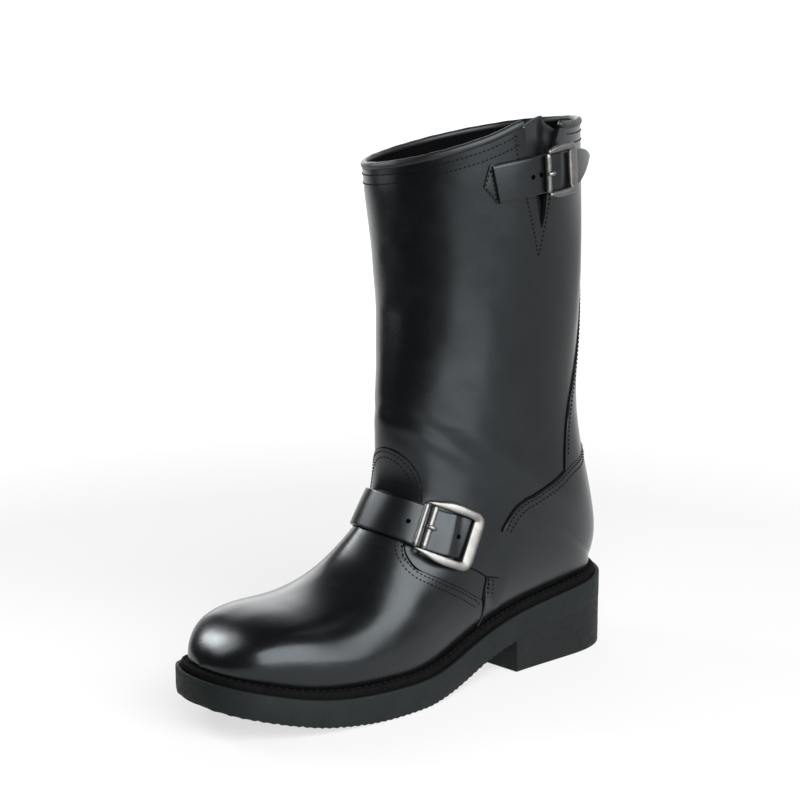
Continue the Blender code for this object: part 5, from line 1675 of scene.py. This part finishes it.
def make_seam_stitches(look):
    """Rows of stitches on the vamp, the overlays, the seam in front of the counter and the tab."""
    lines = []
    for distance in VAMP_STITCHES:
        t, f = shifted(*vamp_edge(), distance)
        keep = np.abs(f - 1.0) < 1.0 - VAMP_STITCH_LOW
        lines.append(on_surface(t[keep], f[keep], VAMP_STEP + VAMP_STITCH_RISE))
    rows = np.linspace(*COUNTER_STITCH_ROWS)
    for distance in COUNTER_STITCHES:
        line = beside((rows, counter_edge(rows)), distance)
        lines += both_sides(*line, COUNTER_THICK + OVERLAY_STITCH_RISE)
    for seam in SEAM_STITCHES:
        lines += both_sides(*np.array(seam).T, SEAM_HEIGHT)
    edge = stay_line(np.linspace(*STAY_STITCH_ROWS))
    for distance in STAY_STITCHES:
        lines += both_sides(*beside(edge, distance), STAY_THICK + OVERLAY_STITCH_RISE)
    add_solid("seam_stitches", *stitch_mesh(lines + tab_lines(), FINE_STITCH), look)


def make_collar_stitches(look):
    """Rows of stitches round the collar, outside and on the lining, and along the slit."""
    lines = []
    front, rear = slit_edges(COLLAR_STITCH_ROW)
    first, last = COLLAR_ENDS
    rear_points, front_points = COLLAR_POINTS
    for f in (np.linspace(front + SLIT_CLEAR, last, front_points),
              np.linspace(first, rear - SLIT_CLEAR, rear_points)):
        for drop in COLLAR_STITCHES:
            lines.append(on_surface(*even_line(*shifted(rim_row(f), f, drop)), COLLAR_STITCH_RISE))
        inside = even_line(*shifted(rim_row(f), f, LINING_STITCH))
        path, out = on_surface(*inside, -WALL - LINING_STITCH_DEPTH)
        lines.append((path, -out))
    for edge in SLIT_STITCHES:
        lines.append(on_surface(*even_line(*np.array(edge).T), COLLAR_STITCH_RISE))
    add_solid("collar_stitches", *stitch_mesh(lines, FINE_STITCH), look)


def make_edges(look):
    """Dark cords along the cut edges of vamp, counter, back stay and seam: edge dye and painted shade."""
    rows = np.linspace(*COUNTER_EDGE_ROWS)
    edges = (
        ((rows, counter_edge(rows)), 0.5 * COUNTER_THICK),
        (np.array(SEAM).T, SEAM_HEIGHT),
        (np.array(SEAM_TOP).T, SEAM_HEIGHT),
        (stay_line(np.linspace(*STAY_EDGE_ROWS)), 0.5 * STAY_THICK),
    )
    lines = [on_surface(*vamp_edge(), 0.5 * VAMP_STEP)]
    lines += [line for edge, height in edges for line in both_sides(*edge, height)]
    # Each cord is partly edge dye and partly painted shade along the foot of its edge.
    cords = [bar(path, out, EDGE_RADIUS, EDGE_RADIUS, EDGE_SIDES) for path, out in lines]
    add_solid("edge_dye_and_shade", *joined(cords), look)


def make_welt_stitches(look):
    """Heavy stitches on top of the welt, all the way round."""
    lines = []
    stations = sole_stations(WELT_STITCH_STATIONS)
    for side in SIDES:
        found, out = outline_at(side, stations)
        loop = found - out * (WELT_INSET + WELT_STITCH_INSET)
        path = np.c_[loop, sole_top(loop[:, 1]) + WELT_RISE]
        lines.append((path, np.broadcast_to(UP, path.shape)))
    add_solid("welt_stitches", *stitch_mesh(lines, WELT_STITCH), look)


def facing(azimuth, elevation):
    """Right, up and towards directions of something that looks back at the boot from a direction."""
    turn = math.radians(azimuth)
    tilt = math.radians(elevation)
    right = np.array([math.cos(turn), math.sin(turn), 0.0])
    back = np.array([math.sin(turn) * math.cos(tilt), -math.cos(turn) * math.cos(tilt), math.sin(tilt)])
    return right, np.cross(back, right), back


def put(name, data, axes, spot):
    """Adds a camera or a light at a place with its axes."""
    thing = bpy.data.objects.new(name, data)
    pose = Matrix.Identity(4)
    for k in range(3):
        for m in range(3):
            pose[k][m] = axes[m][k]
        pose[k][3] = spot[k]
    thing.matrix_world = pose
    bpy.context.scene.collection.objects.link(thing)
    return thing


def place_camera():
    """Camera at the photograph's angle."""
    right, up, back = facing(CAMERA_AZIMUTH, CAMERA_ELEVATION)
    aim = np.array([-MIDDLE_X, 0.0, AIM_HEIGHT]) + right * CAMERA_SIDE + up * CAMERA_RISE
    data = bpy.data.cameras.new("camera")
    data.sensor_width = SENSOR
    data.lens = SENSOR * FOCAL_PIXELS / PICTURE
    data.clip_end = 100.0
    spot = (aim + back * CAMERA_DISTANCE) * METRES
    bpy.context.scene.camera = put("camera", data, (right, up, back), spot)


def place_light(row):
    """Soft box at a direction from the boot, facing it."""
    r = dict(zip(LIGHT_COLUMNS, row))
    data = bpy.data.lights.new(r["name"], "AREA")
    data.shape = "RECTANGLE"
    data.size = r["width"]
    data.size_y = r["height"]
    data.energy = r["power"]
    axes = facing(r["azimuth"], r["elevation"])
    spot = np.array([0.0, 0.0, AIM_HEIGHT * METRES]) + axes[2] * r["distance"]
    put(r["name"], data, axes, spot).visible_camera = False


def make_stage(material):
    """Pale floor, a studio that is bright behind the boot, and the soft boxes."""
    right, _, front = facing(FLOOR_FRONT_AZIMUTH, 0.0)
    sides = ((-FLOOR_REACH, FLOOR_FRONT), (FLOOR_REACH, FLOOR_FRONT), (FLOOR_REACH, -FLOOR_REACH),
             (-FLOOR_REACH, -FLOOR_REACH))
    corners = [front * y + right * x for x, y in sides]
    floor = plain_mesh("stage_floor", np.array(corners) / METRES, [(0, 1, 2, 3)])
    floor.data.materials.append(material)
    world = bpy.data.worlds.new("studio")
    world.use_nodes = True
    nodes = world.node_tree.nodes
    links = world.node_tree.links
    turned = nodes.new("ShaderNodeVectorMath")
    turned.operation = "DOT_PRODUCT"
    turned.inputs[1].default_value = facing(*WORLD_BRIGHT)[2]
    spread = nodes.new("ShaderNodeMapRange")
    spread.interpolation_type = "SMOOTHSTEP"
    for socket, value in zip(("From Min", "From Max", "To Min", "To Max"), WORLD_SPREAD):
        spread.inputs[socket].default_value = value
    nodes["Background"].inputs["Color"].default_value = (1.0, 1.0, 1.0, 1.0)
    links.new(nodes.new("ShaderNodeTexCoord").outputs["Generated"], turned.inputs[0])
    links.new(turned.outputs["Value"], spread.inputs["Value"])
    links.new(spread.outputs["Result"], nodes["Background"].inputs["Strength"])
    bpy.context.scene.world = world
    for row in LIGHT_ROWS:
        place_light(row)
    bpy.context.scene.view_settings.view_transform = "Standard"


def build():
    """All materials, pieces, the stage and the camera."""
    upper = (leather("upper_leather", *LEATHER_SHADES, 0.25, 0.03), "upper_leather")
    strap = (leather("strap_leather", *LEATHER_SHADES, 0.28, 0.04), "strap_leather")
    trim = (leather("trim_leather", *TRIM_SHADES, 0.42, 0.10), "trim_leather")
    metal = (plated_metal(), "buckle_metal")
    sewn = thread()
    make_upper(upper)
    make_lining((lining_cloth(), "trim_leather"))
    make_counter(upper)
    make_back_stay(upper)
    make_binding(trim)
    make_gusset(trim)
    # hole_shade is the painted shade inside the punched holes.
    make_straps(strap, (hole_shade(), "strap_leather"))
    for name, seat in buckle_seats().items():
        make_buckle(name, seat, metal)
    sole = (rubber("sole_rubber", *SOLE_SHADES, True), "sole_rubber")
    heel = (rubber("heel_rubber", *HEEL_SHADES, False), "heel_rubber")
    make_sole(sole, heel, (welt_leather(), "welt"), (felt(), "insole"))
    make_seam_stitches((sewn, "upper_leather"))
    make_collar_stitches((sewn, "upper_leather"))
    # The dark edge cords are edge dye and painted shade.
    make_edges((sewn, "upper_leather"))
    make_welt_stitches((sewn, "welt"))
    make_stage(floor_paint_and_glow())
    place_camera()


build()
